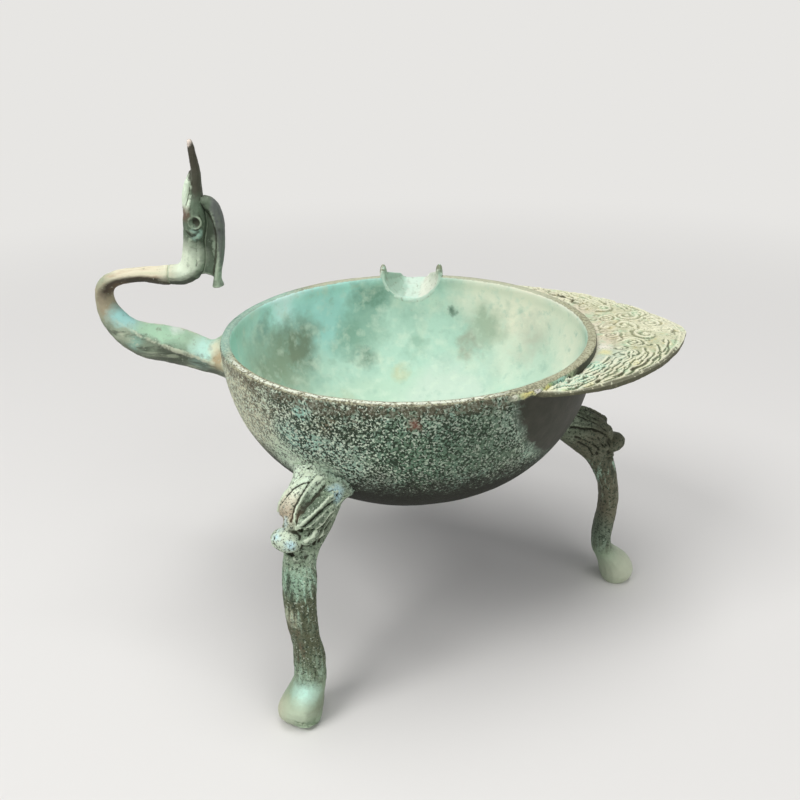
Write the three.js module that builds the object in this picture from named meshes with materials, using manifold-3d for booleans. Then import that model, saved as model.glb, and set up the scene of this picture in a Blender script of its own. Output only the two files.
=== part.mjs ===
// A cast bronze brush washer: a round-bottomed bowl on three beast-headed legs, with a bird-headed
// neck for a handle on the left, a leaf-shaped tail plate on the right and a pouring spout at the back.
// Millimetres, +Z up, the handle along -X, the tail along +X and the spout towards +Y.
import * as THREE from "three";
import { mergeVertices } from "three/addons/utils/BufferGeometryUtils.js";
import Module from "manifold-3d";

const wasm = await Module();
wasm.setup();

// Driving sizes of the bowl
const RIM_RADIUS = 60;
const RIM_HEIGHT = 100.5;
const BOWL_DEPTH = 53.5;
const WALL = 2.8;
const BOWL_FULLNESS = 2.3;
const FLOOR_RADIUS = 9;
const LIP_HEIGHT = 3.2;
const LIP_INSIDE = 0.5;
const SEAM = 0.3;

// Pouring spout at the back of the rim
const SPOUT_AZIMUTH = 88.2;
const SPOUT_HALF_WIDTH = 12.3;
const SPOUT_MOUTH_HALF_WIDTH = 7.4;
const SPOUT_DROP = 9.2;
const SPOUT_REACH = 12.5;
const SPOUT_RISE = 4.3;
const SPOUT_SKEW = 1.4;
const SPOUT_EDGE_FALL = 4.4;
const SPOUT_WALL = 1.9;
const HORN_RISE = 3.2;
const HORN_THICK = 1.4;

// Tail plate on the right of the rim
const TAIL_REACH = 29.5;
const TAIL_ROOT_HALF = 50;
const TAIL_ROOT_X = 27;
const TAIL_THICK = 2;
const TAIL_DROP = 2.2;
const TAIL_BORDER = 3.2;
const TAIL_BAND = 6;
const TAIL_RELIEF = 0.5;

// Legs. The mask is the beast's head that grips the bowl.
const LEG_JOINT_DROP = 37;
const MASK_HEIGHT = 20;
const SHANK_OUT = 11;
const SHANK_HALF_WIDTH = 5;
const SHANK_HALF_THICK = 3.3;
const HOOF_HEIGHT = 12;
const HOOF_OUT = 16.4;
const HOOF_HALF_WIDTH = 7.1;
const HOOF_HALF_LENGTH = 6.3;
const LEGS = [
  { name: "leg_front_left", azimuth: -118.8, twist: -20, lean: 4.4, lift: 3.5 },
  { name: "leg_right", azimuth: 0, twist: 0, lean: 0, lift: 0 },
  { name: "leg_rear_left", azimuth: 120, twist: 0, lean: 0, lift: 0 },
];

// Neck, head and crest
const NECK_OUT = 36.5;
const NECK_RISE = 18.4;
const NECK_ROOT_DROP = 9.5;
const NECK_LOW_HALF = 6.6;
const NECK_TOP_HALF = 3.1;
const SEAT_OUT = 14.7;
const HEAD_HEIGHT = 40.7;
const SKULL_HALF_WIDTH = 4.4;
const EYE_RING = 1.8;
const EYE_TUBE = 0.55;
const CREST_HALF_WIDTH = 2.4;
const CREST_WEB = 1.6;

const TURN = 2 * Math.PI;
const BOWL_SIDES = 64;
const EGG_SIDES = 10;
const patina = (name, color, roughness) =>
  new THREE.MeshStandardMaterial({ name, color, roughness, metalness: 0.35 });
const finishes = {
  bowl: patina("bowl_patina", 0x6f9a82, 0.8),
  spout: patina("spout_patina", 0xa9c7b2, 0.8),
  tail: patina("tail_patina", 0xbfc19a, 0.75),
  neck: patina("neck_patina", 0x8fb09a, 0.75),
  head: patina("head_patina", 0x5f7a66, 0.75),
  leg: patina("leg_patina", 0x7fa08a, 0.8),
};

// Turns a closed three.js geometry into a solid that can be joined and cut
function solid(geometry) {
  const bare = geometry.index ? geometry.toNonIndexed() : geometry.clone();
  for (const name of Object.keys(bare.attributes)) {
    if (name !== "position") bare.deleteAttribute(name);
  }
  const merged = mergeVertices(bare, 1e-4);
  return new wasm.Manifold(
    new wasm.Mesh({
      numProp: 3,
      vertProperties: new Float32Array(merged.attributes.position.array),
      triVerts: new Uint32Array(merged.index.array),
    }),
  );
}

// Turns a solid back into a geometry with flat faces
function geometryOf(made) {
  const mesh = made.getMesh();
  const geometry = new THREE.BufferGeometry();
  geometry.setAttribute("position", new THREE.BufferAttribute(mesh.vertProperties, 3));
  geometry.setIndex(new THREE.BufferAttribute(mesh.triVerts, 1));
  const faceted = geometry.toNonIndexed();
  faceted.computeVertexNormals();
  return faceted;
}

// A closed skin through rings of one count, which run anticlockwise seen from outside the first end.
// Both ends are shut by the same triangles, a fan unless others are given.
function skin(rings, cap) {
  const count = rings[0].length;
  const points = rings.flat();
  const index = [];
  for (let i = 0; i + 1 < rings.length; i += 1) {
    for (let j = 0; j < count; j += 1) {
      const a = i * count + j;
      const b = i * count + ((j + 1) % count);
      index.push(a, a + count, b, b, a + count, b + count);
    }
  }
  const end = (rings.length - 1) * count;
  const fan = Array.from({ length: count - 2 }, (_, j) => [0, j + 1, j + 2]);
  for (const [a, b, c] of cap ?? fan) index.push(a, b, c, end + a, end + c, end + b);
  const geometry = new THREE.BufferGeometry();
  geometry.setAttribute("position", new THREE.Float32BufferAttribute(points.flatMap((p) => p.toArray()), 3));
  geometry.setIndex(index);
  return solid(geometry);
}

// A point of a rounded outline of half sizes 1. Roundness 2 is a circle, less is a diamond, more is a box.
function rounded(angle, roundness) {
  const bend = (value) => Math.sign(value) * Math.abs(value) ** (2 / roundness);
  return [bend(Math.cos(angle)), bend(Math.sin(angle))];
}

// Runs smoothly through rows of numbers, all of one length
function through(rows, steps) {
  const curves = [];
  for (let first = 0; first < rows[0].length; first += 3) {
    curves.push(
      new THREE.CatmullRomCurve3(
        rows.map((row) => new THREE.Vector3(row[first], row[first + 1] ?? 0, row[first + 2] ?? 0)),
        false,
        "catmullrom",
        0.5,
      ),
    );
  }
  const row = (_, i) => curves.flatMap((curve) => curve.getPoint(i / steps).toArray());
  return Array.from({ length: steps + 1 }, row);
}

// Sweeps a rounded section along a curve in the XZ plane through stations of
// [x, z, half thickness in the plane, half width along Y, roundness].
function sweep(stations, steps, sides, grow = 0) {
  const rows = through(stations, steps);
  const rings = rows.map(([x, z, thick, wide, roundness], i) => {
    const [fromX, fromZ] = rows[Math.max(0, i - 1)];
    const [toX, toZ] = rows[Math.min(steps, i + 1)];
    const along = new THREE.Vector2(toX - fromX, toZ - fromZ).normalize();
    return Array.from({ length: sides }, (_, j) => {
      const [c, s] = rounded((TURN * j) / sides, roundness);
      const across = (thick + grow) * c;
      return new THREE.Vector3(x + along.y * across, (wide + grow) * s, z - along.x * across);
    });
  });
  return skin(rings.map((ring) => ring.reverse()));
}

// An egg with three radii, turned about Y and placed
function egg(at, radii, turn = 0) {
  const geometry = new THREE.SphereGeometry(1, EGG_SIDES, EGG_SIDES - 3);
  geometry.scale(...radii);
  geometry.rotateY(THREE.MathUtils.degToRad(turn));
  geometry.translate(...at);
  return solid(geometry);
}

// Profile of one face of the bowl from the rim down to the axis, with heights from the rim
function bowlArc(radius, depth, steps) {
  return Array.from({ length: steps + 1 }, (_, i) => {
    const [r, z] = rounded((Math.PI / 2) * (i / steps), BOWL_FULLNESS);
    return new THREE.Vector2(i === steps ? 0 : radius * r, -depth * z);
  });
}

// A profile turned about the bowl's axis
function turned(profile) {
  const lathe = new THREE.LatheGeometry(profile, BOWL_SIDES);
  return solid(lathe.rotateX(Math.PI / 2)).translate([0, 0, RIM_HEIGHT]);
}

// The bowl as a filled form that goes on above the rim. It trims whatever is cast on to the bowl.
function bowlForm(radius, depth) {
  const top = HORN_RISE * 3;
  const arc = bowlArc(radius, depth, 14).reverse();
  return turned([...arc, new THREE.Vector2(radius, top), new THREE.Vector2(0, top)]);
}

const seatForm = bowlForm(RIM_RADIUS + SEAM, BOWL_DEPTH + SEAM);
const insideForm = bowlForm(RIM_RADIUS - WALL, BOWL_DEPTH - WALL);

// A trough with a round section. It runs out from inside the bowl's wall, narrows, rises and flattens.
// Hollow gives the spout itself and filled gives the slot that it fills in the wall.
function trough(grow, hollow) {
  const start = RIM_RADIUS - 2.5 * WALL;
  const end = RIM_RADIUS + SPOUT_REACH;
  const arcSteps = 10;
  const steps = 6;
  const rings = [];
  for (let i = 0; i <= steps; i += 1) {
    const y = start + ((end - start) * i) / steps;
    const out = Math.max(0, (y - RIM_RADIUS) / SPOUT_REACH);
    const half = THREE.MathUtils.lerp(SPOUT_HALF_WIDTH, SPOUT_MOUTH_HALF_WIDTH, out ** 0.8) + grow;
    const floor = RIM_HEIGHT - SPOUT_DROP - SPOUT_WALL + SPOUT_RISE * out * out - grow;
    const edge = RIM_HEIGHT + HORN_RISE * 0.3 - SPOUT_EDGE_FALL * out + grow;
    const middle = SPOUT_SKEW * out;
    const arc = (halfWidth, bottom) =>
      Array.from({ length: arcSteps + 1 }, (_, j) => {
        const [c, s] = rounded(Math.PI + (Math.PI * j) / arcSteps, 1.9 + 0.5 * out);
        return new THREE.Vector3(middle + halfWidth * c, y, edge + (edge - bottom) * s);
      });
    const inner = hollow ? arc(half - SPOUT_WALL, floor + SPOUT_WALL).reverse() : [];
    rings.push([...arc(half, floor), ...inner]);
  }
  const outline = rings[0].map((p) => new THREE.Vector2(p.x, p.z));
  return skin(rings, THREE.ShapeUtils.triangulateShape(outline, [])).rotate([0, 0, SPOUT_AZIMUTH - 90]);
}

function makeBowl() {
  const outer = bowlArc(RIM_RADIUS, BOWL_DEPTH, 15).reverse();
  const floor = WALL - BOWL_DEPTH;
  const inner = bowlArc(RIM_RADIUS - WALL, -floor, 15).map((p) =>
    p.x < FLOOR_RADIUS ? new THREE.Vector2(p.x, floor) : p,
  );
  const inside = RIM_RADIUS - WALL - LIP_INSIDE;
  const round = WALL / 4;
  const lip = [
    new THREE.Vector2(RIM_RADIUS, -LIP_HEIGHT),
    new THREE.Vector2(RIM_RADIUS, -round),
    new THREE.Vector2(RIM_RADIUS - round, 0),
    new THREE.Vector2(inside + round, 0),
    new THREE.Vector2(inside, -round),
    new THREE.Vector2(inside, LIP_INSIDE - LIP_HEIGHT),
  ];
  const below = (points) => points.filter((p) => p.y < -LIP_HEIGHT - LIP_INSIDE);
  return turned([...below(outer), ...lip, ...below(inner)]).subtract(trough(SEAM, false));
}

// The spout, with a horn at each side where it leaves the rim
function makeSpout() {
  let spout = trough(0, true);
  for (const side of [-1, 1]) {
    const at = [side * (SPOUT_HALF_WIDTH - HORN_THICK), RIM_RADIUS - WALL / 2, RIM_HEIGHT + HORN_RISE * 0.35];
    const horn = egg(at, [HORN_THICK, WALL, HORN_RISE], 0);
    spout = spout.add(horn.rotate([0, 0, SPOUT_AZIMUTH - 90]));
  }
  const above = solid(new THREE.BoxGeometry(4 * SPOUT_HALF_WIDTH, 4 * RIM_RADIUS, 4 * SPOUT_DROP));
  return spout.subtract(insideForm).intersect(above.translate([0, 0, RIM_HEIGHT]));
}

// Outline of the tail plate, or of its relief, which keeps an inset from the plate's edge
function tailOutline(inset) {
  const tip = RIM_RADIUS + TAIL_REACH - inset;
  const half = TAIL_ROOT_HALF - inset;
  const out = TAIL_REACH - inset;
  const shape = new THREE.Shape();
  shape.moveTo(TAIL_ROOT_X, -half);
  const flank = TAIL_ROOT_X + 0.85 * out;
  shape.bezierCurveTo(flank, -half * 1.04, tip - 0.4 * out, -half * 0.66, tip, -half * 0.06);
  shape.quadraticCurveTo(tip + 0.01 * out, 0, tip, half * 0.06);
  shape.bezierCurveTo(tip - 0.4 * out, half * 0.66, flank, half * 1.04, TAIL_ROOT_X, half);
  shape.closePath();
  return shape;
}

function makeTailPlate() {
  const slab = (inset, low, high) => {
    const options = { depth: high - low, bevelEnabled: false, curveSegments: 12 };
    return solid(new THREE.ExtrudeGeometry(tailOutline(inset), options)).translate([0, 0, low]);
  };
  const top = RIM_HEIGHT - TAIL_DROP;
  const band = RIM_RADIUS + TAIL_BAND;
  const disc = new THREE.CylinderGeometry(band, band, TAIL_THICK * 8, BOWL_SIDES);
  const bandForm = solid(disc.rotateX(Math.PI / 2));
  const relief = slab(TAIL_BORDER, top - TAIL_THICK / 2, top + TAIL_RELIEF);
  return slab(0, top - TAIL_THICK, top)
    .add(relief.subtract(bandForm.translate([0, 0, top])))
    .subtract(seatForm);
}

// Rings of a leg by height: [height, distance out, half length out, half width, roundness]. The shank's
// heights are shares of the joint's height, and the mask's are steps of its size from the joint.
function legRows(joint) {
  const m = MASK_HEIGHT / 20;
  const r = RIM_RADIUS;
  const w = SHANK_HALF_WIDTH;
  const t = SHANK_HALF_THICK;
  const shank = r + SHANK_OUT;
  const hoof = r + HOOF_OUT;
  return [
    [0, hoof - 0.06 * HOOF_HEIGHT, HOOF_HALF_LENGTH * 0.7, HOOF_HALF_WIDTH * 0.82, 2.2],
    [HOOF_HEIGHT * 0.2, hoof, HOOF_HALF_LENGTH * 0.94, HOOF_HALF_WIDTH, 2.2],
    [HOOF_HEIGHT * 0.45, hoof - 0.02 * HOOF_HEIGHT, HOOF_HALF_LENGTH, HOOF_HALF_WIDTH * 0.98, 2.1],
    [HOOF_HEIGHT * 0.72, hoof - 0.16 * HOOF_HEIGHT, HOOF_HALF_LENGTH * 0.92, HOOF_HALF_WIDTH * 0.88, 2],
    [HOOF_HEIGHT * 0.97, shank + 0.05 * HOOF_HEIGHT, t * 1.36, w * 1.12, 2],
    [HOOF_HEIGHT * 1.2, shank - 0.08 * HOOF_HEIGHT, t * 1.06, w, 2.2],
    [joint * 0.32, shank - 0.02 * joint, t, w * 0.97, 2.4],
    [joint * 0.44, shank - 0.003 * joint, t, w, 2.4],
    [joint * 0.58, shank - 0.003 * joint, t * 1.02, w * 1.02, 2.4],
    [joint - 20 * m, shank - 1.9 * m, t * 1.17, w * 1.08, 2.3],
    [joint - 15.5 * m, shank - 3.6 * m, 4.6 * m, 5.3 * m, 2.2],
    [joint - 12.3 * m, r + 5.6 * m, 5 * m, 5.4 * m, 2.2],
    [joint - 9.5 * m, r + 3.2 * m, 5.8 * m, 5.9 * m, 2.2],
    [joint - 6.3 * m, r + 1 * m, 7.5 * m, 6.5 * m, 2.2],
    [joint - 3 * m, r - 1 * m, 9.4 * m, 7.2 * m, 2.2],
    [joint + 0.6 * m, r - 2.6 * m, 10.2 * m, 7.8 * m, 2.2],
    [joint + 3.2 * m, r - 4.4 * m, 9 * m, 7.4 * m, 2.2],
    [joint + 5 * m, r - 6.2 * m, 7.2 * m, 6.8 * m, 2.2],
    [joint + 6.2 * m, r - 8 * m, 4.8 * m, 5 * m, 2.2],
  ];
}

// The beast's features: a ball for a nose and its bridge, long brows beside the forehead, cheeks and a jaw
function maskForms(joint) {
  const m = MASK_HEIGHT / 20;
  const at = (out, side, up) => [RIM_RADIUS + out * m, side * m, joint + up * m];
  const size = (...radii) => radii.map((radius) => radius * m);
  const forms = [egg(at(10.2, 0, -6.9), size(4.6, 4.4, 3.4), -22), egg(at(6.4, 0, -3), size(3.6, 2.6, 3.4))];
  for (const side of [-1, 1]) {
    forms.push(egg(at(1.8, side * 4.5, 0.8), size(7.4, 2.9, 3.4), 23));
    forms.push(egg(at(4.2, side * 4.6, -5.6), size(4.4, 2, 2.2), 18));
    forms.push(egg(at(8.6, side * 3, -11.2), size(2.6, 2, 1.8)));
  }
  return forms;
}

// One leg: a beast's head that grips the bowl, a flattened shank out of its mouth and a hoof. A leg that
// leans is slipped sideways below its joint, so its hoof still stands flat. Twist turns the beast's face
// and the hoof about their own uprights.
function makeLeg({ azimuth, twist, lean, lift }) {
  const joint = RIM_HEIGHT - LEG_JOINT_DROP + lift;
  const sides = 16;
  const shank = RIM_RADIUS + SHANK_OUT;
  const face = RIM_RADIUS + MASK_HEIGHT / 4;
  const up = new THREE.Vector3(0, 0, 1);
  const rings = through(legRows(joint), 28).map(([z, out, long, wide, roundness]) => {
    const share = THREE.MathUtils.smoothstep(0.6 * joint - z, 0, 0.4 * joint);
    const turn = THREE.MathUtils.degToRad(twist) * share;
    return Array.from({ length: sides }, (_, j) => {
      const [c, s] = rounded((TURN * j) / sides, roundness);
      const place = new THREE.Vector3(out + long * c - shank, wide * s, z).applyAxisAngle(up, turn);
      return place.setX(place.x + shank);
    });
  });
  let leg = skin(rings.map((ring) => ring.reverse()));
  for (const form of maskForms(joint)) {
    leg = leg.add(form.translate([-face, 0, 0]).rotate([0, 0, twist]).translate([face, 0, 0]));
  }
  const slip = Math.tan(THREE.MathUtils.degToRad(lean));
  const sideways = new THREE.Matrix4().makeShear(0, 0, 0, 0, 0, -slip);
  const hung = leg.translate([0, 0, -joint]).transform(sideways.elements).translate([0, 0, joint]);
  const table = solid(new THREE.BoxGeometry(6 * RIM_RADIUS, 6 * RIM_RADIUS, HOOF_HEIGHT));
  return hung
    .subtract(table.translate([0, 0, -HOOF_HEIGHT / 2]))
    .rotate([0, 0, azimuth])
    .subtract(seatForm);
}

// Stations of the neck, from inside the bowl's wall out, round the bend and back over to the seam
function neckStations() {
  const x = -RIM_RADIUS;
  const z = RIM_HEIGHT - NECK_ROOT_DROP;
  const out = NECK_OUT / 36.5;
  const up = (NECK_RISE + NECK_ROOT_DROP) / 27.9;
  const low = NECK_LOW_HALF;
  const top = NECK_TOP_HALF;
  return [
    [x + 6 * out, z - 0.4 * up, low * 1.5, low * 1.25, 1.8],
    [x + 1 * out, z - 0.4 * up, low * 1.24, low * 1.1, 1.6],
    [x - 4.6 * out, z - 0.2 * up, low * 0.92, low * 0.84, 1.4],
    [x - 8.2 * out, z + 1 * up, low * 0.93, low * 0.76, 1.35],
    [x - 12.8 * out, z + 3 * up, low, low * 0.76, 1.35],
    [x - 19 * out, z + 4.8 * up, low, low * 0.75, 1.35],
    [x - 25.6 * out, z + 6 * up, low * 0.97, low * 0.74, 1.4],
    [x - 31.8 * out, z + 9.8 * up, low * 0.77, low * 0.67, 1.5],
    [x - 35.3 * out, z + 14.6 * up, top * 1.34, top * 1.2, 1.7],
    [x - NECK_OUT, z + 20 * up, top, top * 1.06, 1.9],
    [x - 35.6 * out, z + 24.3 * up, top * 0.9, top * 1.02, 2],
    [x - 32 * out, z + 27 * up, top * 0.82, top, 2],
    [x - 24 * out, z + 28.2 * up, top * 0.78, top, 1.9],
    [x - 18.5 * out, z + 27.8 * up, top * 0.94, top, 1.8],
    [x - SEAT_OUT, z + 27.9 * up, top * 1.04, top * 1.02, 1.8],
  ];
}

function makeNeck() {
  return sweep(neckStations(), 38, 12).subtract(seatForm);
}

// A point of the head's side view in steps of its height, from the middle of the seat on the neck
function headPoint(out, up) {
  const step = HEAD_HEIGHT / 41;
  return [-RIM_RADIUS - SEAT_OUT + out * step, RIM_HEIGHT + NECK_RISE + up * step];
}

function headStations() {
  const s = HEAD_HEIGHT / 41;
  const w = SKULL_HALF_WIDTH;
  const top = NECK_TOP_HALF;
  return [
    [...headPoint(SEAM, 0), top * 1.02, top * 0.98, 1.8],
    [...headPoint(4.2, 0.2), 3.5 * s, w * 0.74, 1.8],
    [...headPoint(7.4, 2.4), 3.9 * s, w * 0.78, 1.8],
    [...headPoint(8.6, 6.6), 3.8 * s, w * 0.8, 1.8],
    [...headPoint(9.2, 11.4), 3.4 * s, w * 0.86, 2],
    [...headPoint(10, 15.6), 3.7 * s, w * 0.98, 2],
    [...headPoint(10.4, 19), 3.5 * s, w, 2],
    [...headPoint(11.1, 22.6), 2.5 * s, w * 0.82, 2],
    [...headPoint(11.8, 26.4), 1.75 * s, w * 0.6, 2],
    [...headPoint(12.2, 31), 1.45 * s, w * 0.46, 2],
    [...headPoint(11.9, 36), 1.2 * s, w * 0.34, 2],
    [...headPoint(11.5, 39.6), 0.95 * s, w * 0.24, 2],
    [...headPoint(11.3, 41), 0.5 * s, w * 0.14, 2],
  ];
}

function lowerBeakStations() {
  const s = HEAD_HEIGHT / 41;
  const w = SKULL_HALF_WIDTH;
  return [
    [...headPoint(8.6, 18.6), 1.7 * s, w * 0.66, 2],
    [...headPoint(8.3, 22.4), 1.3 * s, w * 0.54, 2],
    [...headPoint(8.8, 26), 1.15 * s, w * 0.42, 2],
    [...headPoint(9.8, 29.4), 0.75 * s, w * 0.24, 2],
    [...headPoint(10.5, 32), 0.3 * s, w * 0.1, 2],
  ];
}

// Head, both halves of the beak and a raised ring round each eye, which a disc joins to the skull
function makeHead() {
  let head = sweep(headStations(), 28, 12).add(sweep(lowerBeakStations(), 10, 10));
  const [eyeX, eyeZ] = headPoint(11, 17.2);
  for (const side of [-1, 1]) {
    const ring = new THREE.TorusGeometry(EYE_RING, EYE_TUBE, 6, 12);
    ring.rotateX(Math.PI / 2);
    ring.translate(eyeX, side * (SKULL_HALF_WIDTH - EYE_TUBE), eyeZ);
    const disc = new THREE.CylinderGeometry(EYE_RING, EYE_RING, SKULL_HALF_WIDTH / 2, 12);
    disc.translate(eyeX, side * (SKULL_HALF_WIDTH * 0.75 - EYE_TUBE), eyeZ);
    head = head.add(solid(ring)).add(solid(disc));
  }
  return head;
}

function crestStations() {
  const s = HEAD_HEIGHT / 41;
  const w = CREST_HALF_WIDTH;
  return [
    [...headPoint(11.6, 22.4), 1.5 * s, w * 0.9, 2.2],
    [...headPoint(13.9, 23), 1.7 * s, w * 0.95, 2.2],
    [...headPoint(16, 21.4), 1.8 * s, w, 2.2],
    [...headPoint(17.3, 18.2), 1.5 * s, w, 2.2],
    [...headPoint(17.7, 14), 1.25 * s, w, 2.2],
    [...headPoint(17.4, 9.6), 1.15 * s, w, 2.2],
    [...headPoint(16.6, 5), 1.1 * s, w, 2.2],
    [...headPoint(15.5, 0.8), 1 * s, w, 2.2],
    [...headPoint(15, -1.8), 1.2 * s, w * 1.1, 2.2],
    [...headPoint(15, -3.8), 1.9 * s, w * 1.3, 2.2],
  ];
}

// The crest: a strap that bows from the brow down to a foot, on a thin web that fills its bow
function makeCrest() {
  const rib = sweep(crestStations(), 26, 12);
  const line = crestStations().slice(1, 9);
  const web = new THREE.Shape();
  web.moveTo(...headPoint(9.6, 21));
  web.lineTo(line[0][0], line[0][1]);
  web.splineThru(line.slice(1).map(([x, z]) => new THREE.Vector2(x, z)));
  web.quadraticCurveTo(...headPoint(13, 1), ...headPoint(9.4, -0.6));
  web.closePath();
  const plate = new THREE.ExtrudeGeometry(web, { depth: CREST_WEB, bevelEnabled: false, curveSegments: 12 });
  plate.translate(0, 0, -CREST_WEB / 2);
  plate.rotateX(Math.PI / 2);
  const headSeat = sweep(headStations(), 28, 12, SEAM);
  return rib.add(solid(plate)).subtract(headSeat);
}

const part = new THREE.Group();

function add(name, made, finish) {
  const mesh = new THREE.Mesh(geometryOf(made), finish);
  mesh.name = name;
  part.add(mesh);
}

add("bowl", makeBowl(), finishes.bowl);
add("pouring_spout", makeSpout(), finishes.spout);
add("tail_plate", makeTailPlate(), finishes.tail);
add("neck", makeNeck(), finishes.neck);
add("bird_head", makeHead(), finishes.head);
add("crest", makeCrest(), finishes.head);
for (const leg of LEGS) add(leg.name, makeLeg(leg), finishes.leg);

// The origin is on the table, under the middle of the outline
const outline = new THREE.Box3().setFromObject(part);
const middle = outline.getCenter(new THREE.Vector3());
part.position.set(-middle.x, -middle.y, -outline.min.z);

export default part;
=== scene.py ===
# %% [markdown]
# # A verdigris bronze brush washer
# The imported model is the frame: it comes in as fixed nodes in metres, and every piece made here stands
# where the frame says. This first cell loads it and lists its nodes.

# %% Load the frame
import math

import bpy
import numpy as np
from mathutils import Matrix, Vector
from mathutils.bvhtree import BVHTree


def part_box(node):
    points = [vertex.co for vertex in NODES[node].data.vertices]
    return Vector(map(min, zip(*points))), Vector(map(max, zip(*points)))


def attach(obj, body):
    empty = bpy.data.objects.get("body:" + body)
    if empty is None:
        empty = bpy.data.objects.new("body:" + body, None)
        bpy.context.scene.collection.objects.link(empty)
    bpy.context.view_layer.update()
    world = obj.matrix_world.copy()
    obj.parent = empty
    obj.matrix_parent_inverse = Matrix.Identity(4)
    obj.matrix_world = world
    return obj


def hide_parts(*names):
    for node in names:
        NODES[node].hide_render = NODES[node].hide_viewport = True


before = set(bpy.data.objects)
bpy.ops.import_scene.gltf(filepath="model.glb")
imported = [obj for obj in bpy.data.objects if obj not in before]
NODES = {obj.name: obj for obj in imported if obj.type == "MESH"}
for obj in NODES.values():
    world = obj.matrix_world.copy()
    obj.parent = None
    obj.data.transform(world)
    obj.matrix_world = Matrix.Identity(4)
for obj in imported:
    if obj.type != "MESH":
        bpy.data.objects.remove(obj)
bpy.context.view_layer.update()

print("nodes:", ", ".join(sorted(NODES)))

# %% [markdown]
# ## Camera
# The camera stands where the photographer's phone did: about a quarter of a metre from the bowl, looking
# down into it by 25 degrees. The numbers are those of the camera that was fitted to the rim and the feet.
# The bowl's axis is found from its node, because everything else is measured from it.

# %% Camera
BOWL_LOW, BOWL_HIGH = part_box("bowl")
MM = 0.001
BOWL_RADIUS = 60 * MM
AXIS_X = BOWL_HIGH[0] - BOWL_RADIUS
AXIS_Y = BOWL_LOW[1] + BOWL_RADIUS
RIM_Z = BOWL_HIGH[2]
CAMERA_SIDE = -0.0008
CAMERA_BACK = 0.2446
CAMERA_UP = 0.1889
CAMERA_DOWN = math.radians(25.17)
CAMERA_YAW = math.radians(-0.52)
CAMERA_ROLL = math.radians(-1.15)
SENSOR = 36.0
FOCAL_PIXELS = 799.0
PICTURE_SIDE = 800


def place_camera():
    data = bpy.data.cameras.new("camera")
    data.sensor_width = SENSOR
    data.lens = SENSOR * FOCAL_PIXELS / PICTURE_SIDE
    data.clip_start = 0.01
    camera = bpy.data.objects.new("camera", data)
    bpy.context.collection.objects.link(camera)
    ahead = Vector((math.sin(CAMERA_YAW) * math.cos(CAMERA_DOWN),
                    math.cos(CAMERA_YAW) * math.cos(CAMERA_DOWN),
                    -math.sin(CAMERA_DOWN)))
    right = Vector((math.cos(CAMERA_YAW), -math.sin(CAMERA_YAW), 0.0))
    up = right.cross(ahead)
    rolled_right = math.cos(CAMERA_ROLL) * right + math.sin(CAMERA_ROLL) * up
    rolled_up = math.cos(CAMERA_ROLL) * up - math.sin(CAMERA_ROLL) * right
    turn = Matrix((rolled_right, rolled_up, -ahead)).transposed()
    place = Vector((AXIS_X + CAMERA_SIDE, AXIS_Y - CAMERA_BACK, CAMERA_UP))
    camera.matrix_world = Matrix.Translation(place) @ turn.to_4x4()
    bpy.context.scene.camera = camera
    return camera


camera = place_camera()
print("camera at", [round(v, 4) for v in camera.matrix_world.translation])

# %% [markdown]
# ## Ways of working
# An operator acts on everything that is selected, and loading the frame leaves its nodes selected, so each
# step first picks one piece and nothing else. A finished piece rides on the one body of the frame, stands
# for its node and is shaded smooth. Sizes in calls are millimetres.

# %% Picking, finishing and handing over a piece
def only(piece):
    bpy.ops.object.select_all(action="DESELECT")
    piece.select_set(True)
    bpy.context.view_layer.objects.active = piece


def finish_with(piece, kind, **settings):
    """Adds a modifier, sets it and applies it."""
    only(piece)
    modifier = piece.modifiers.new(kind.lower(), kind)
    for name, value in settings.items():
        setattr(modifier, name, value)
    bpy.ops.object.modifier_apply(modifier=modifier.name)


def stand_for(piece, node):
    bpy.ops.object.select_all(action="DESELECT")
    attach(piece, "root")
    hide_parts(node)
    print(f"{piece.name}: {len(piece.data.polygons)} faces stand for {node}")
    only(piece)
    bpy.ops.object.shade_smooth()


# %% [markdown]
# ## A cast surface
# Wax and clay never leave a perfect surface. A casting swells and sinks a little over each centimetre and
# is pitted more finely. Displacement by cloud textures of two sizes gives both, in the mesh itself, so
# the outline wavers as a real one does.

# %% Cast unevenness
def roughen(piece, coarse, swell, fine, pits):
    for label, grain, depth in (("swell", coarse, swell), ("pits", fine, pits)):
        clouds = bpy.data.textures.new(f"{piece.name}_{label}", "CLOUDS")
        clouds.noise_scale = grain * MM
        clouds.noise_depth = 2
        finish_with(piece, "DISPLACE", texture=clouds, strength=depth * MM, mid_level=0.5,
                    texture_coords="LOCAL")

# %% [markdown]
# ## The bowl
# The real bowl was cast round a turned core, so it is a true body of revolution with an even wall. Spinning
# one profile about the axis makes it the same way. The profile is drawn by extruding a single corner from
# point to point: up the outside, over the rounded lip and down the inside to a small level floor.

# %% The bowl's profile
BOWL_DEPTH = 53.5 * MM
WALL = 2.8 * MM
FULLNESS = 2.3
LIP_HEIGHT = 3.2 * MM
LIP_INSIDE = 0.5 * MM
FLOOR_RADIUS = 9 * MM


def wall_arc(radius, depth, steps):
    """Points of one face of the bowl from rim to axis, as distance out and height from the rim."""
    arc = []
    for i in range(steps + 1):
        angle = math.pi / 2 * i / steps
        out = max(0.0, math.cos(angle)) ** (2 / FULLNESS)
        down = math.sin(angle) ** (2 / FULLNESS)
        arc.append((radius * out if i < steps else 0.0, -depth * down))
    return arc


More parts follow.
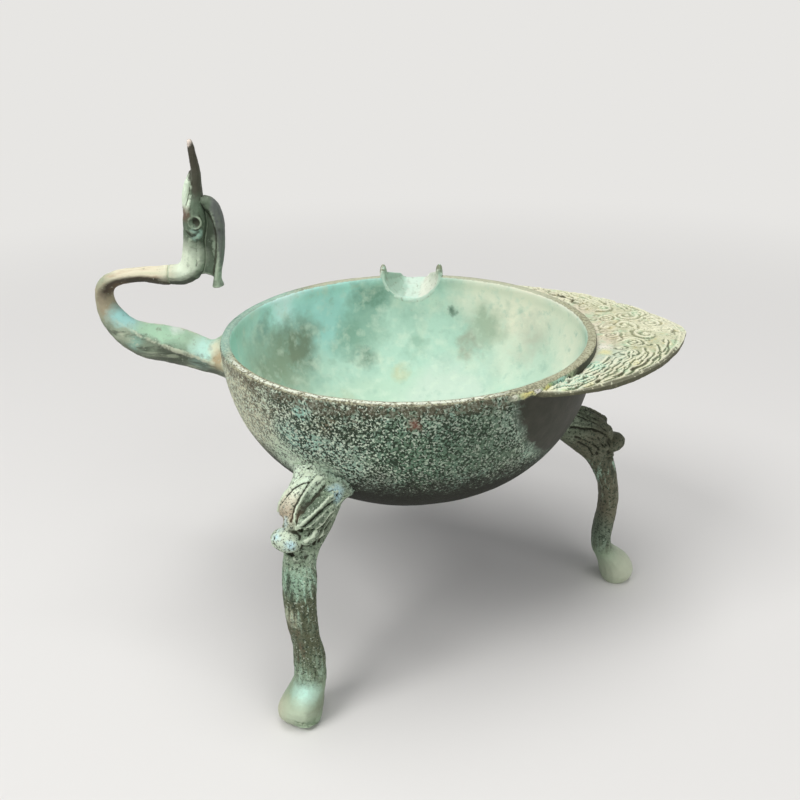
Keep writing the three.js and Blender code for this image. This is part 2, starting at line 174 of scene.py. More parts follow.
def bowl_profile():
    outer = [p for p in wall_arc(BOWL_RADIUS, BOWL_DEPTH, 26) if p[1] < -LIP_HEIGHT - LIP_INSIDE]
    floor = WALL - BOWL_DEPTH
    inner = [p for p in wall_arc(BOWL_RADIUS - WALL, -floor, 24) if p[1] < -LIP_HEIGHT - LIP_INSIDE]
    inner = [(r, floor if r < FLOOR_RADIUS else z) for r, z in inner]
    inside = BOWL_RADIUS - WALL - LIP_INSIDE
    lip = [
        (BOWL_RADIUS - 0.05 * MM, -LIP_HEIGHT),
        (BOWL_RADIUS, -2.2 * MM),
        (BOWL_RADIUS, -1.0 * MM),
        (BOWL_RADIUS - 0.3 * MM, -0.3 * MM),
        (BOWL_RADIUS - 1.0 * MM, 0.0),
        (BOWL_RADIUS - 2.2 * MM, 0.0),
        (inside + 0.3 * MM, -0.35 * MM),
        (inside, -1.0 * MM),
        (inside, LIP_INSIDE - LIP_HEIGHT),
    ]
    return outer[::-1] + lip + inner


profile = bowl_profile()
print("bowl profile:", len(profile), "points")

# %% [markdown]
# A spin makes the round form exactly and with an even net, which the later cut for the spout needs. With
# ninety-six steps the rim stays smooth at the distance of the camera.

# %% Spin the profile
def spin_bowl():
    bpy.ops.object.select_all(action="DESELECT")
    start = Vector((AXIS_X + profile[0][0], AXIS_Y, RIM_Z + profile[0][1]))
    bpy.ops.mesh.primitive_circle_add(vertices=3, radius=MM, location=start)
    bowl = bpy.context.object
    bowl.name = "cast_bowl"
    bpy.ops.object.transform_apply(location=True)
    bpy.ops.object.mode_set(mode="EDIT")
    bpy.ops.mesh.select_all(action="SELECT")
    bpy.ops.mesh.merge(type="CENTER")
    for (r0, z0), (r1, z1) in zip(profile, profile[1:]):
        bpy.ops.mesh.extrude_vertices_move(TRANSFORM_OT_translate={"value": (r1 - r0, 0.0, z1 - z0)})
    bpy.ops.mesh.select_all(action="SELECT")
    bpy.ops.mesh.spin(steps=96, angle=2 * math.pi, center=(AXIS_X, AXIS_Y, 0.0), axis=(0.0, 0.0, 1.0))
    bpy.ops.mesh.select_all(action="SELECT")
    bpy.ops.mesh.remove_doubles(threshold=0.01 * MM)
    bpy.ops.mesh.normals_make_consistent(inside=False)
    bpy.ops.object.mode_set(mode="OBJECT")
    return bowl


bowl = spin_bowl()
print("bowl spun:", len(bowl.data.polygons), "faces, box", [round(v, 4) for v in bowl.dimensions])

# %% [markdown]
# ## The castings that are brazed on
# The other castings have free forms that the frame already holds as facetted solids. Each is copied, its
# loose triangles are merged, and a voxel remesh turns it into an even net of small faces that can be
# smoothed and then carved, as a wax is.

# %% A wax of a casting
def wax(node, name, voxel, smoothing):
    piece = bpy.data.objects.new(name, NODES[node].data.copy())
    bpy.context.collection.objects.link(piece)
    piece.data.materials.clear()
    only(piece)
    bpy.ops.object.mode_set(mode="EDIT")
    bpy.ops.mesh.select_all(action="SELECT")
    bpy.ops.mesh.remove_doubles(threshold=0.001 * MM)
    bpy.ops.object.mode_set(mode="OBJECT")
    finish_with(piece, "REMESH", mode="VOXEL", voxel_size=voxel * MM)
    if smoothing:
        finish_with(piece, "SMOOTH", factor=0.5, iterations=smoothing)
    return piece


# %% [markdown]
# ## Carving
# Sculpt strokes can't be made without a window, so a stroke is a line of points that is laid on the skin.
# Each point slides to the nearest place on the piece, and the skin near the line moves out for a ridge or
# in for a groove, most in the middle and fading to the sides.

# %% Carving strokes
def from_axis(out, side, up):
    """A point in millimetres from the bowl's axis, to the right, to the back and up from the table."""
    return (AXIS_X + out * MM, AXIS_Y + side * MM, up * MM)


def skin_of(piece):
    mesh = piece.data
    places = np.empty(len(mesh.vertices) * 3, np.float32)
    mesh.vertices.foreach_get("co", places)
    outward = np.empty(len(mesh.vertices) * 3, np.float32)
    mesh.vertex_normals.foreach_get("vector", outward)
    return places.reshape(-1, 3), outward.reshape(-1, 3)


def set_skin(piece, places):
    piece.data.vertices.foreach_set("co", np.ascontiguousarray(places, np.float32).ravel())
    piece.data.update()


def neighbours(piece):
    """Both ends of every edge, and for each place the number of its neighbours with itself."""
    pairs = np.empty(len(piece.data.edges) * 2, np.int32)
    piece.data.edges.foreach_get("vertices", pairs)
    first, second = pairs.reshape(-1, 2).T
    return first, second, np.bincount(pairs, minlength=len(piece.data.vertices)) + 1


def average(values, first, second, count):
    """The mean of each place's value and those of its neighbours."""
    size = len(values)
    total = np.bincount(first, values[second], size) + np.bincount(second, values[first], size)
    return (values + total) / count


def along(points, step):
    """The same line with a point at every step of its length."""
    points = np.asarray(points, np.float32)
    lengths = np.linalg.norm(np.diff(points, axis=0), axis=1)
    at = np.concatenate([[0.0], np.cumsum(lengths)])
    wanted = np.linspace(0.0, at[-1], max(2, int(at[-1] / step) + 1))
    return np.stack([np.interp(wanted, at, points[:, axis]) for axis in range(3)], axis=1)


def carve(piece, strokes):
    """Each stroke is (points, half width, height): a ridge where the height is positive."""
    places, outward = skin_of(piece)
    shift = np.zeros(len(places), np.float32)
    for points, width, height in strokes:
        width, height = width * MM, height * MM
        line = along(points, 0.5 * width)
        reach = 8 * MM + 3 * width
        near = np.all((places > line.min(0) - reach) & (places < line.max(0) + reach), axis=1)
        index = np.nonzero(near)[0]
        if not len(index):
            continue
        patch = places[index]
        seat = np.stack([patch[np.argmin(((patch - p) ** 2).sum(1))] for p in line])
        gap = np.full(len(patch), np.inf, np.float32)
        for p in seat:
            gap = np.minimum(gap, ((patch - p) ** 2).sum(1))
        shift[index] += height * np.exp(-gap / width ** 2)
    set_skin(piece, places + outward * shift[:, None])

# %% [markdown]
# ## Seating a casting on the bowl
# The frame keeps a seam of 0.3 mm between the castings. On the real washer braze fills it and runs out in
# a small fillet. Near the bowl's wall the skin of a casting is drawn in to the wall and spread sideways.

# %% The braze fillet
BRAZE_DEPTH = 0.55 * MM


def wall_gap(places):
    """Distance of points outside the bowl from its outer face, and the face's outward direction there."""
    out = places[:, :2] - (AXIS_X, AXIS_Y)
    r = np.maximum(np.linalg.norm(out, axis=1), 1e-6)
    d = np.maximum(RIM_Z - places[:, 2], 1e-6)
    form = (r / BOWL_RADIUS) ** FULLNESS + (d / BOWL_DEPTH) ** FULLNESS
    size = form ** (1 / FULLNESS)
    slope_r = (r / BOWL_RADIUS) ** (FULLNESS - 1) / BOWL_RADIUS
    slope_z = -(d / BOWL_DEPTH) ** (FULLNESS - 1) / BOWL_DEPTH
    steep = np.hypot(slope_r, slope_z) * size ** (1 - FULLNESS)
    away = np.stack([slope_r * out[:, 0] / r, slope_r * out[:, 1] / r, slope_z], axis=1)
    away /= np.linalg.norm(away, axis=1)[:, None]
    return (size - 1) / steep, away


def close_seam(piece, node, reach):
    """Draws the skin of a piece that lies within reach of another node on to that node, as solder does."""
    reach *= MM
    other = NODES[node].data
    tree = BVHTree.FromPolygons([v.co for v in other.vertices],
                                [tuple(p.vertices) for p in other.polygons])
    places, _ = skin_of(piece)
    low = np.array([min(v.co[i] for v in other.vertices) for i in range(3)]) - reach
    high = np.array([max(v.co[i] for v in other.vertices) for i in range(3)]) + reach
    for i in np.nonzero(np.all((places > low) & (places < high), axis=1))[0]:
        near, _, _, gap = tree.find_nearest(Vector(places[i]), reach)
        if near is not None:
            places[i] += (np.array(near) - places[i]) * (1 - gap / reach) ** 1.3
    set_skin(piece, places)


def braze(piece, reach, spread):
    """Sinks the foot of a casting into the wall and spreads it there in a hollow fillet."""
    places, outward = skin_of(piece)
    gap, away = wall_gap(places)
    pull = np.clip(1 - gap / (reach * MM), 0, 1) ** 2
    pull[places[:, 2] > RIM_Z - 2 * MM] = 0
    sideways = outward - away * (outward * away).sum(1)[:, None]
    sunk = places - away * (BRAZE_DEPTH * pull)[:, None]
    set_skin(piece, sunk + sideways * (spread * MM * pull ** 1.5)[:, None])


# %% [markdown]
# ## Pouring spout
# The spout is a short trough. Its horns are the two corners that stop the water from running sideways
# along the rim. On the real one they are filed round and lean outwards.

# %% Spout
spout = wax("pouring_spout", "cast_spout", 0.35, 6)
roughen(spout, 5, 0.35, 1.3, 0.12)
stand_for(spout, "pouring_spout")

# %% [markdown]
# ## Cutting the wall for the spout
# The bowl's wall is cut away where the spout passes, with a Boolean that takes off a filled copy of the
# spout's trough. The bowl's net is refined first, so the cut and the cast unevenness both show in it. One
# stroke lays the low ridge of braze that runs along the lip from the tail plate's near root.

# %% Slot in the wall
SPOUT_TURN = math.radians(88.2 - 90)


def slot_form():
    """A filled trough, drawn as a half circle, pushed out through the wall and stretched to the spout."""
    bpy.ops.object.select_all(action="DESELECT")
    start = (AXIS_X, AXIS_Y + BOWL_RADIUS - 9 * MM, RIM_Z + MM)
    bpy.ops.mesh.primitive_circle_add(vertices=40, radius=11.6 * MM, fill_type="NGON", location=start,
                                      rotation=(math.pi / 2, 0.0, 0.0))
    form = bpy.context.object
    form.name = "slot_form"
    bpy.ops.object.transform_apply(location=True, rotation=True)
    bpy.ops.object.mode_set(mode="EDIT")
    bpy.ops.mesh.select_all(action="SELECT")
    bpy.ops.mesh.extrude_region_move(TRANSFORM_OT_translate={"value": (0.0, 18 * MM, 0.0)})
    bpy.ops.mesh.select_all(action="SELECT")
    bpy.ops.transform.resize(value=(1.0, 1.0, 0.87), center_override=start)
    bpy.ops.transform.rotate(value=-SPOUT_TURN, orient_axis="Z", center_override=(AXIS_X, AXIS_Y, 0.0))
    bpy.ops.mesh.normals_make_consistent(inside=False)
    bpy.ops.object.mode_set(mode="OBJECT")
    return form


finish_with(bowl, "SUBSURF", levels=2, render_levels=2)
form = slot_form()
finish_with(bowl, "BOOLEAN", operation="DIFFERENCE", object=form, solver="EXACT")
bpy.data.objects.remove(form)
lip_braze = [from_axis(*p) for p in ((26.5, -53.8, 99.2), (30, -52, 99.3), (36.5, -47.8, 99.3))]
carve(bowl, [(lip_braze, 1.2, 0.95)])
roughen(bowl, 26, 0.5, 3.2, 0.1)
stand_for(bowl, "bowl")

# %% [markdown]
# ## Tail plate
# The plate carries a relief of cloud scrolls and long feathers between two plain borders. It was carved in
# the wax, so here each scroll is a stroke: a groove that ends in a small curl, with a ridge along its side.
# The strokes follow the plate's own outline, from the roots at the rim to the tip.

# %% Lines on the plate
TAIL_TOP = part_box("tail_plate")[1][2]
TAIL_EDGE = ((31, 50.2), (39.2, 48.7), (46, 47), (53.6, 43.1), (61.8, 38), (70.8, 30.7), (76.1, 24.8),
             (83.1, 14.2), (87.6, 3))
EDGE_RUN = 72


def tail_spot(share, inset):
    """A spot on the plate: share from the near root, -1, over the tip to the far root, 1, and an inset."""
    edge = np.array(TAIL_EDGE)
    lengths = np.concatenate([[0.0], np.cumsum(np.linalg.norm(np.diff(edge, axis=0), axis=1))])
    at = (1 - abs(share)) * lengths[-1]
    here, before, after = [np.array([np.interp(at + d, lengths, edge[:, axis]) for axis in (0, 1)])
                           for d in (0, -1, 1)]
    ahead = (after - before) / np.linalg.norm(after - before)
    x = here[0] + inset * ahead[1]
    y = here[1] - inset * ahead[0]
    spot = from_axis(x, math.copysign(y, share), 0)
    return np.array([spot[0], spot[1], TAIL_TOP])


def feather(share, inset, length, bend):
    """A barb that runs along the edge towards the tip and curls away from it at its end."""
    steps = np.linspace(0, 1, 9)
    return [tail_spot(share - math.copysign(length * t / EDGE_RUN, share), inset + bend * t ** 2.5)
            for t in steps]


def volute(x, y, radius, start, turns, hand):
    """A spiral line round a place that is given in millimetres from the bowl's axis."""
    points = []
    for t in np.linspace(0, 1, 30):
        angle = start + hand * t * turns * 2 * math.pi
        r = radius * (1 - 0.78 * t)
        spot = from_axis(x + r * math.cos(angle), y + r * math.sin(angle), 0)
        points.append(np.array([spot[0], spot[1], TAIL_TOP]))
    return points


def cut(line, width, depth):
    """A cut with a lip thrown up along one side, as a tool leaves it in wax."""
    line = np.asarray(line)
    ahead = np.gradient(line, axis=0)
    side = np.stack([-ahead[:, 1], ahead[:, 0], 0 * ahead[:, 0]], axis=1)
    side /= np.maximum(np.linalg.norm(side, axis=1), 1e-9)[:, None]
    return [(line, width, -depth), (line + side * 1.9 * width * MM, width, 0.55 * depth)]


# %% [markdown]
# The barbs lie in ten rows along either edge and get shorter rows towards the tip, where the scrolls take
# over. Dice with a fixed seed vary the length, bend and depth of the barbs a little, as a hand does, and the
# same dice give the same plate each time.

# %% Strokes of the relief
dice = np.random.default_rng(7)
# Each scroll by its middle, size, first angle and hand
VOLUTES = (
    (75.5, -7, 5.4, 0.5, 1), (69.5, -14, 3.6, 2.6, -1), (70.5, 1.5, 4, -0.5, 1), (79.5, 3.5, 3.8, 1.6, -1),
    (66.5, -21.5, 3, 3.4, 1), (73.5, 11, 4.2, 0.2, -1), (67.5, 19.5, 3.8, 4, 1), (78, 13, 2.8, 1, -1),
    (62, 28, 3.4, 2.2, 1), (83, -2.5, 2.4, 5, 1), (66, 9, 2.8, 1.2, -1), (64.8, -6, 2.6, 0.4, -1),
    (57, 35, 2.8, 0.4, 1), (64.5, 1.5, 2, 2, 1), (72, 24, 2.6, 1.4, 1), (81.5, 9.5, 2.2, 3, 1),
)


def tail_strokes():
    strokes = []
    for side in (-1, 1):
        for row in range(10):
            inset = 1.1 * row + 0.4
            share = 0.97 - 0.028 * row
            while share > 0.22 + 0.035 * row:
                length = dice.uniform(5.0, 10.5)
                line = feather(side * share, inset + dice.uniform(-0.25, 0.25), length,
                               dice.uniform(0.6, 2.6))
                strokes += cut(line, dice.uniform(0.22, 0.34), dice.uniform(0.3, 0.5))
                share -= (length + dice.uniform(-0.6, 0.8)) / EDGE_RUN
    for x, y, size, start, hand in VOLUTES:
        strokes.append((volute(x, y, size * 0.86, start, 1.3, hand), 0.6, 0.36))
        strokes.append((volute(x, y, size * 0.5, start + 0.4, 0.8, hand), 0.45, -0.28))
        strokes += cut(volute(x, y, size * 1.14, start, 1.1, hand), 0.42, 0.36)
        strokes.append((volute(x, y, 0.2, 0.0, 0.1, 1), 0.7, 0.4))
        for _ in range(3):
            turn = dice.uniform(0, 6.3)
            comma = volute(x + size * 1.5 * math.cos(turn), y + size * 1.5 * math.sin(turn),
                           dice.uniform(1.2, 2.2), dice.uniform(0, 6.3), 0.5, hand)
            strokes.append((comma, 0.4, -0.28))
    rim = [tail_spot(share, -0.1) for share in np.linspace(-0.98, 0.98, 60)]
    strokes.append((rim, 0.34, 0.28))
    return strokes


relief = tail_strokes()
print("relief:", len(relief), "strokes")

# %% [markdown]
# On the real plate the ground under the relief is soft, not stepped like the frame's, so the top is settled
# before it is carved. The plate thins towards its roots, and at the near one the braze was smeared up to the
# lip. All three are moves of the skin by rule, which is the quickest way where a form only fades.

# %% Tail plate
def settle(piece, rounds):
    """Lets the steps of the top sink into one another, as in a wax that was warmed before it was cut."""
    places, outward = skin_of(piece)
    top = (outward[:, 2] > 0.4) & (places[:, 2] > TAIL_TOP - 1.2 * MM)
    height = places[:, 2].astype(np.float64)
    first, second, count = neighbours(piece)
    for _ in range(rounds):
        height = np.where(top, average(height, first, second, count), height)
    places[:, 2] = height
    set_skin(piece, places)


def thin_root(piece):
    """The plate runs out to a thin root on either side: its underside rises there."""
    places, _ = skin_of(piece)
    root = np.clip((AXIS_X + 56 * MM - places[:, 0]) / (24 * MM), 0, 1)
    below = np.clip((TAIL_TOP - 1.2 * MM - places[:, 2]) / MM, 0, 1)
    places[:, 2] += 1.15 * MM * root * below
    set_skin(piece, places)


def smear_root(piece):
    """Braze lifts the plate's near root up to the lip, and runs on along the lip."""
    places, _ = skin_of(piece)
    out = places[:, :2] - (AXIS_X, AXIS_Y)
    r = np.linalg.norm(out, axis=1) / MM
    angle = np.degrees(np.arctan2(out[:, 1], out[:, 0]))
    near = np.clip((-36 - angle) / 14, 0, 1) * np.clip((63.5 - r) / 3.2, 0, 1)
    top = np.clip((places[:, 2] - TAIL_TOP + 1.4 * MM) / MM, 0, 1)
    places[:, 2] += 1.5 * MM * near * top
    places[:, :2] -= out / np.maximum(r, 1)[:, None] / MM * (0.35 * MM * near * top)[:, None]
    set_skin(piece, places)


tail = wax("tail_plate", "cast_tail_plate", 0.29, 3)
thin_root(tail)
settle(tail, 34)
carve(tail, relief)
smear_root(tail)
roughen(tail, 9, 0.3, 1.6, 0.12)
braze(tail, 1.2, 0)
stand_for(tail, "tail_plate")

# %% [markdown]
# ## Neck
# The handle's neck has a lozenge section where it leaves the bowl, so an edge runs along each side of it. A
# stroke sharpens that edge, another hollows the flat below it, and a faint ring marks the seat of the head.

# %% Neck
NECK_EDGE = ((-95.4, 3.4, 107.7), (-91.9, 3.2, 104.2), (-88.2, 3.3, 101.5), (-85.1, 3.8, 99.6),
             (-82.3, 4.2, 98.3), (-77.3, 4.6, 96.3), (-72.7, 4.8, 94.6), (-67.4, 4.8, 92.4), (-63, 5.4, 90.6))
NECK_CHINE = ((-90, 4.4, 99.6), (-84, 4.6, 96.6), (-78, 4.4, 94.0), (-72, 4.4, 91.6))
neck = wax("neck", "cast_neck", 0.4, 16)
for hand in (-1, 1):
    carve(neck, [([from_axis(x, hand * side, z) for x, side, z in NECK_EDGE], 0.7, 0.35),
                 ([from_axis(x, hand * side, z) for x, side, z in NECK_CHINE], 1.1, -0.35)])
angles = np.linspace(0, 2 * math.pi, 16)
ring = [from_axis(-75.6, 3.2 * math.cos(a), 119.4 + 3.0 * math.sin(a)) for a in angles]
carve(neck, [(ring, 2.2, 0.2)])
roughen(neck, 7, 0.5, 1.5, 0.14)
braze(neck, 3.5, 1.5)
stand_for(neck, "neck")

# %% [markdown]
# ## Head and crest
# The head is a slim bird's. Its beak is two blades that part at the tip, an open ring stands round the eye,
# and the crest is a bowed strap on a thin web. The strokes sink the eye, cut the line of the mouth and
# hollow the strap.

# %% Head
def on_head(out, up, side):
    """A point of the head's side view in millimetres from the seam on the neck."""
    return from_axis(-74.7 + out, side, 118.9 + up)


# Points of the side view, half width and height: eye, beak's split, mouth, throat, nape and the beak's swell
HEAD_STROKES = (
    (((10.9, 17.2), (11.1, 17.3)), 0.95, -0.9),
    (((9.7, 21), (9.9, 25), (10.3, 29)), 0.3, -0.2),
    (((7.2, 14.2), (9.5, 12.6), (12.3, 13.2)), 0.5, -0.35),
    (((6.6, 4), (7.6, 8), (8.4, 12)), 0.6, 0.3),
    (((10.5, 3), (10.9, 7), (11.2, 11)), 0.6, -0.35),
    (((7.8, 21), (8.3, 25), (8.9, 29)), 1.5, 0.35),
)
head = wax("bird_head", "cast_bird_head", 0.26, 5)
for side in (-4.6, 4.6):
    carve(head, [([on_head(x, z, side) for x, z in points], width, height)
                 for points, width, height in HEAD_STROKES])
close_seam(head, "neck", 2)
roughen(head, 4, 0.3, 1.1, 0.12)
stand_for(head, "bird_head")

# %% Crest
CREST_STROKES = (
    (((13.9, 22.6), (15.6, 21.2), (16.8, 18.6), (17.2, 15.6)), 1.7, 0.5),
    (((14.6, 22.4), (16.4, 20.4), (17.3, 17), (17.5, 12), (17.1, 7), (16.6, 3)), 0.4, -0.16),
)
crest = wax("crest", "cast_crest", 0.26, 4)
for side in (-2.6, 2.6):
    carve(crest, [([on_head(x, z, side) for x, z in points], width, height)
                  for points, width, height in CREST_STROKES])
close_seam(crest, "bird_head", 2)
roughen(crest, 4, 0.3, 1.1, 0.1)
stand_for(crest, "crest")

# %% [markdown]
# ## Legs
# Each leg grows out of a beast's head: long almond brows that run up to the bowl, a sunk eye under their
# outer edge, a round nose, and curls on the cheek. The three were cast from one pattern, so one list of
# strokes serves them all. It is written from the middle of the mask's seat on the bowl: distance out, to
# the side, and up. The near leg turns its face and leans, and its strokes go with it.

# %% Strokes of the mask
FOREHEAD = ((-2, -0.4, 5.6), (2, 0, 5.0), (6, 0, 3.0), (8.6, 0, 0.2), (9.6, 0, -2.6))
# Lines of one half of the face with half width and height: temple, the brow's ridge, hollow, vein and edge,
# groove, cheek, eye, jowl, nostril, undercut of the jaw and two whiskers
HALF_FACE = (
    (((-4.5, -1.6, 6.6), (-3.3, -0.7, 6.2), (2.4, 1.7, 4.4), (6.2, 2.7, 2), (8.5, 3.8, -1)), 0.42, -0.6),
    (((-6, 1.2, 6.3), (-1.3, 1.9, 5.6), (3.1, 3, 3.7), (6.4, 3.9, 1.3), (7.8, 4.5, -1), (8, 5.1, -2.9)),
     0.5, 0.8),
    (((-3.3, 4.3, 5.5), (-0.1, 4.9, 4.5), (2.9, 5.6, 3.1), (5.6, 6.4, 1.4)), 0.95, -0.6),
    (((-4, 3.4, 5.9), (-0.5, 4.4, 5), (2.6, 5, 3.6)), 0.3, 0.4),
    (((-5.6, 6.3, 3.6), (0.5, 8.8, 3.5), (4.5, 9, 1.9), (7.2, 8.2, 0.2), (8, 5.6, -3)), 0.42, 0.65),
    (((-6.1, 6.6, 2.5), (0.7, 9.7, 2.5), (4.8, 9.5, 0.7), (7.4, 8, -1.4), (7.6, 6, -3.9)), 0.5, -1),
    (((-6.8, 6.2, 0.4), (-0.3, 9.7, 0.6), (2.9, 9, -2), (5.3, 8.9, -4.6), (7.5, 8.1, -5.7)), 0.5, 0.65),
    (((6.3, 8.7, -2.6), (6.1, 7.9, -4.2)), 0.65, -1),
    (((-2.2, 7.4, -2), (1.6, 8.2, -4.4), (3.4, 8.2, -7.6)), 0.42, 0.45),
    (((13.4, 2.2, -5.2), (13.6, 3, -6.6), (12.8, 3.6, -7.6)), 0.5, -0.5),
    (((12, 0, -11.4), (10.6, 3.2, -11.2), (10.4, 6.6, -10.3), (8.1, 7.4, -9.6)), 0.75, -1.2),
    (((-4.4, 7.3, -0.9), (0, 8, -3.2), (3.1, 9, -5.4), (4.1, 7.8, -8.7)), 0.45, -0.75),
    (((-3, 7, -3.4), (0.6, 7.6, -6), (2.2, 7.6, -9.2)), 0.45, -0.75),
)

# %% Carving the masks
# Name, place round the bowl, turn of the face and lean in degrees, then lift and the middle of the face
LEGS = {
    "leg_front_left": ("cast_leg_near", -118.8, -20, 4.4, 3.5, -2.6),
    "leg_right": ("cast_leg_right", 0, 0, 0, 0, 0),
    "leg_rear_left": ("cast_leg_rear", 120, 0, 0, 0, 0),
}
MASK_JOINT = 63.5
MASK_OUT = 65
FACE_AXIS = 5


def mask_strokes(azimuth, twist, lean, lift, middle):
    turn, twist, slip = math.radians(azimuth), math.radians(twist), math.tan(math.radians(lean))

    def on_mask(out, side, up):
        side += middle
        r = MASK_OUT + (out - FACE_AXIS) * math.cos(twist) - side * math.sin(twist)
        s = (out - FACE_AXIS) * math.sin(twist) + side * math.cos(twist) - up * slip
        return from_axis(r * math.cos(turn) - s * math.sin(turn), r * math.sin(turn) + s * math.cos(turn),
                         MASK_JOINT + lift + up)

    strokes = [([on_mask(*p) for p in FOREHEAD], 1.1, 0.3)]
    for hand in (-1, 1):
        strokes += [([on_mask(out, hand * side, up) for out, side, up in points], width, height)
                    for points, width, height in HALF_FACE]
    return strokes


# The near leg on its own: a stouter ankle, a leaner jowl and a shorter toe than the pattern's
NEAR_LEG_FORM = (
    (((-34.8, -65.6, 19), (-34.9, -66, 16)), 5.0, 1.8),
    (((-25.5, -66.2, 17), (-25.5, -66.5, 13)), 3.0, -0.6),
    (((-26, -69.5, 7), (-26, -70, 5)), 3.0, 0.5),
    (((-25.4, -60, 57), (-25.8, -60.8, 53)), 3.6, -1.2),
    (((-31.8, -64, 56), (-29.0, -63.6, 56)), 1.6, -0.8),
    (((-34.6, -74.4, 2.6), (-32.5, -74.9, 2.6), (-29.4, -73.4, 2.4)), 4.2, -3.0),
)


legs = {}
for node, (name, *pose) in LEGS.items():
    piece = wax(node, name, 0.3, 9)
    if node == "leg_front_left":
        carve(piece, [([from_axis(*p) for p in line], width, height)
                      for line, width, height in NEAR_LEG_FORM])
    carve(piece, mask_strokes(*pose))
    roughen(piece, 6, 0.4, 1.4, 0.16)
    braze(piece, 6, 4.2)
    stand_for(piece, node)
    legs[node] = piece

# %% [markdown]
# ## Where soil and wear settle
# The patina follows the form. Soil stays in hollows, and hands and water wear the ridges pale. Each place
# is therefore marked with how far it lies below its neighbourhood. The bowl is marked inside, the legs are
# marked near the bowl, and the tail plate along its near edge. The materials read these marks.

# %% Marks on the skin
def mark(piece, name, values):
    attribute = piece.data.attributes.new(name, "FLOAT", "POINT")
    attribute.data.foreach_set("value", np.ascontiguousarray(values, np.float32))


def hollow_of(piece, rounds):
    """How far each place lies below its neighbourhood in millimetres, positive in a hollow."""
    places, outward = skin_of(piece)
    first, second, count = neighbours(piece)
    level = places.astype(np.float64)
    for _ in range(rounds):
        for axis in range(3):
            level[:, axis] = average(level[:, axis], first, second, count)
    return ((level - places) * outward).sum(1) / MM


brazed_on = (spout, tail, neck, head, crest, *legs.values())
for piece in brazed_on:
    mark(piece, "hollow", hollow_of(piece, 12))
for leg in legs.values():
    mark(leg, "seat", np.clip(1 - wall_gap(skin_of(leg)[0])[0] / (2.2 * MM), 0, 1))
places = skin_of(tail)[0]
outline = np.array([tail_spot(share, -0.9)[:2] for share in np.linspace(-1, -0.2, 150)])
gaps = np.stack([np.linalg.norm(places[:, :2] - spot, axis=1) for spot in outline]).min(0)
mark(tail, "edge", np.clip(1 - gaps / (1.5 * MM), 0, 1))
mark(bowl, "hollow", hollow_of(bowl, 4))
mark(bowl, "inside", np.clip((-wall_gap(skin_of(bowl)[0])[0] / MM - 1.3) / 0.8, 0, 1))
print("marked", len(brazed_on) + 1, "pieces")

# %% [markdown]
# ## How a patina is painted
# A buried bronze grows its colours one over another: brown first, then green, then pale crusts, with soil
# caught on top. A coat is built the same way. It starts from one ground colour, and each further colour is
# laid on through a mask: a noise for grain and clouds, a ragged patch round a place, a height, a side that
# faces one way, or the marks for hollows.

# %% Nodes
def paint(colour):
    """A colour that is written in hundredths, as a node takes it."""
    return (*(part / 100 for part in colour), 1.0)


def feed(tree, socket, value):
    """Links the output of a node to a socket, or writes a plain value into it."""
    if isinstance(value, bpy.types.NodeSocket):
        tree.links.new(value, socket)
    else:
        socket.default_value = value


def add_node(tree, kind, settings, inputs):
    made = tree.nodes.new(kind)
    for name, value in settings.items():
        setattr(made, name, value)
    for key, value in inputs.items():
        feed(tree, made.inputs[key], value)
    return made


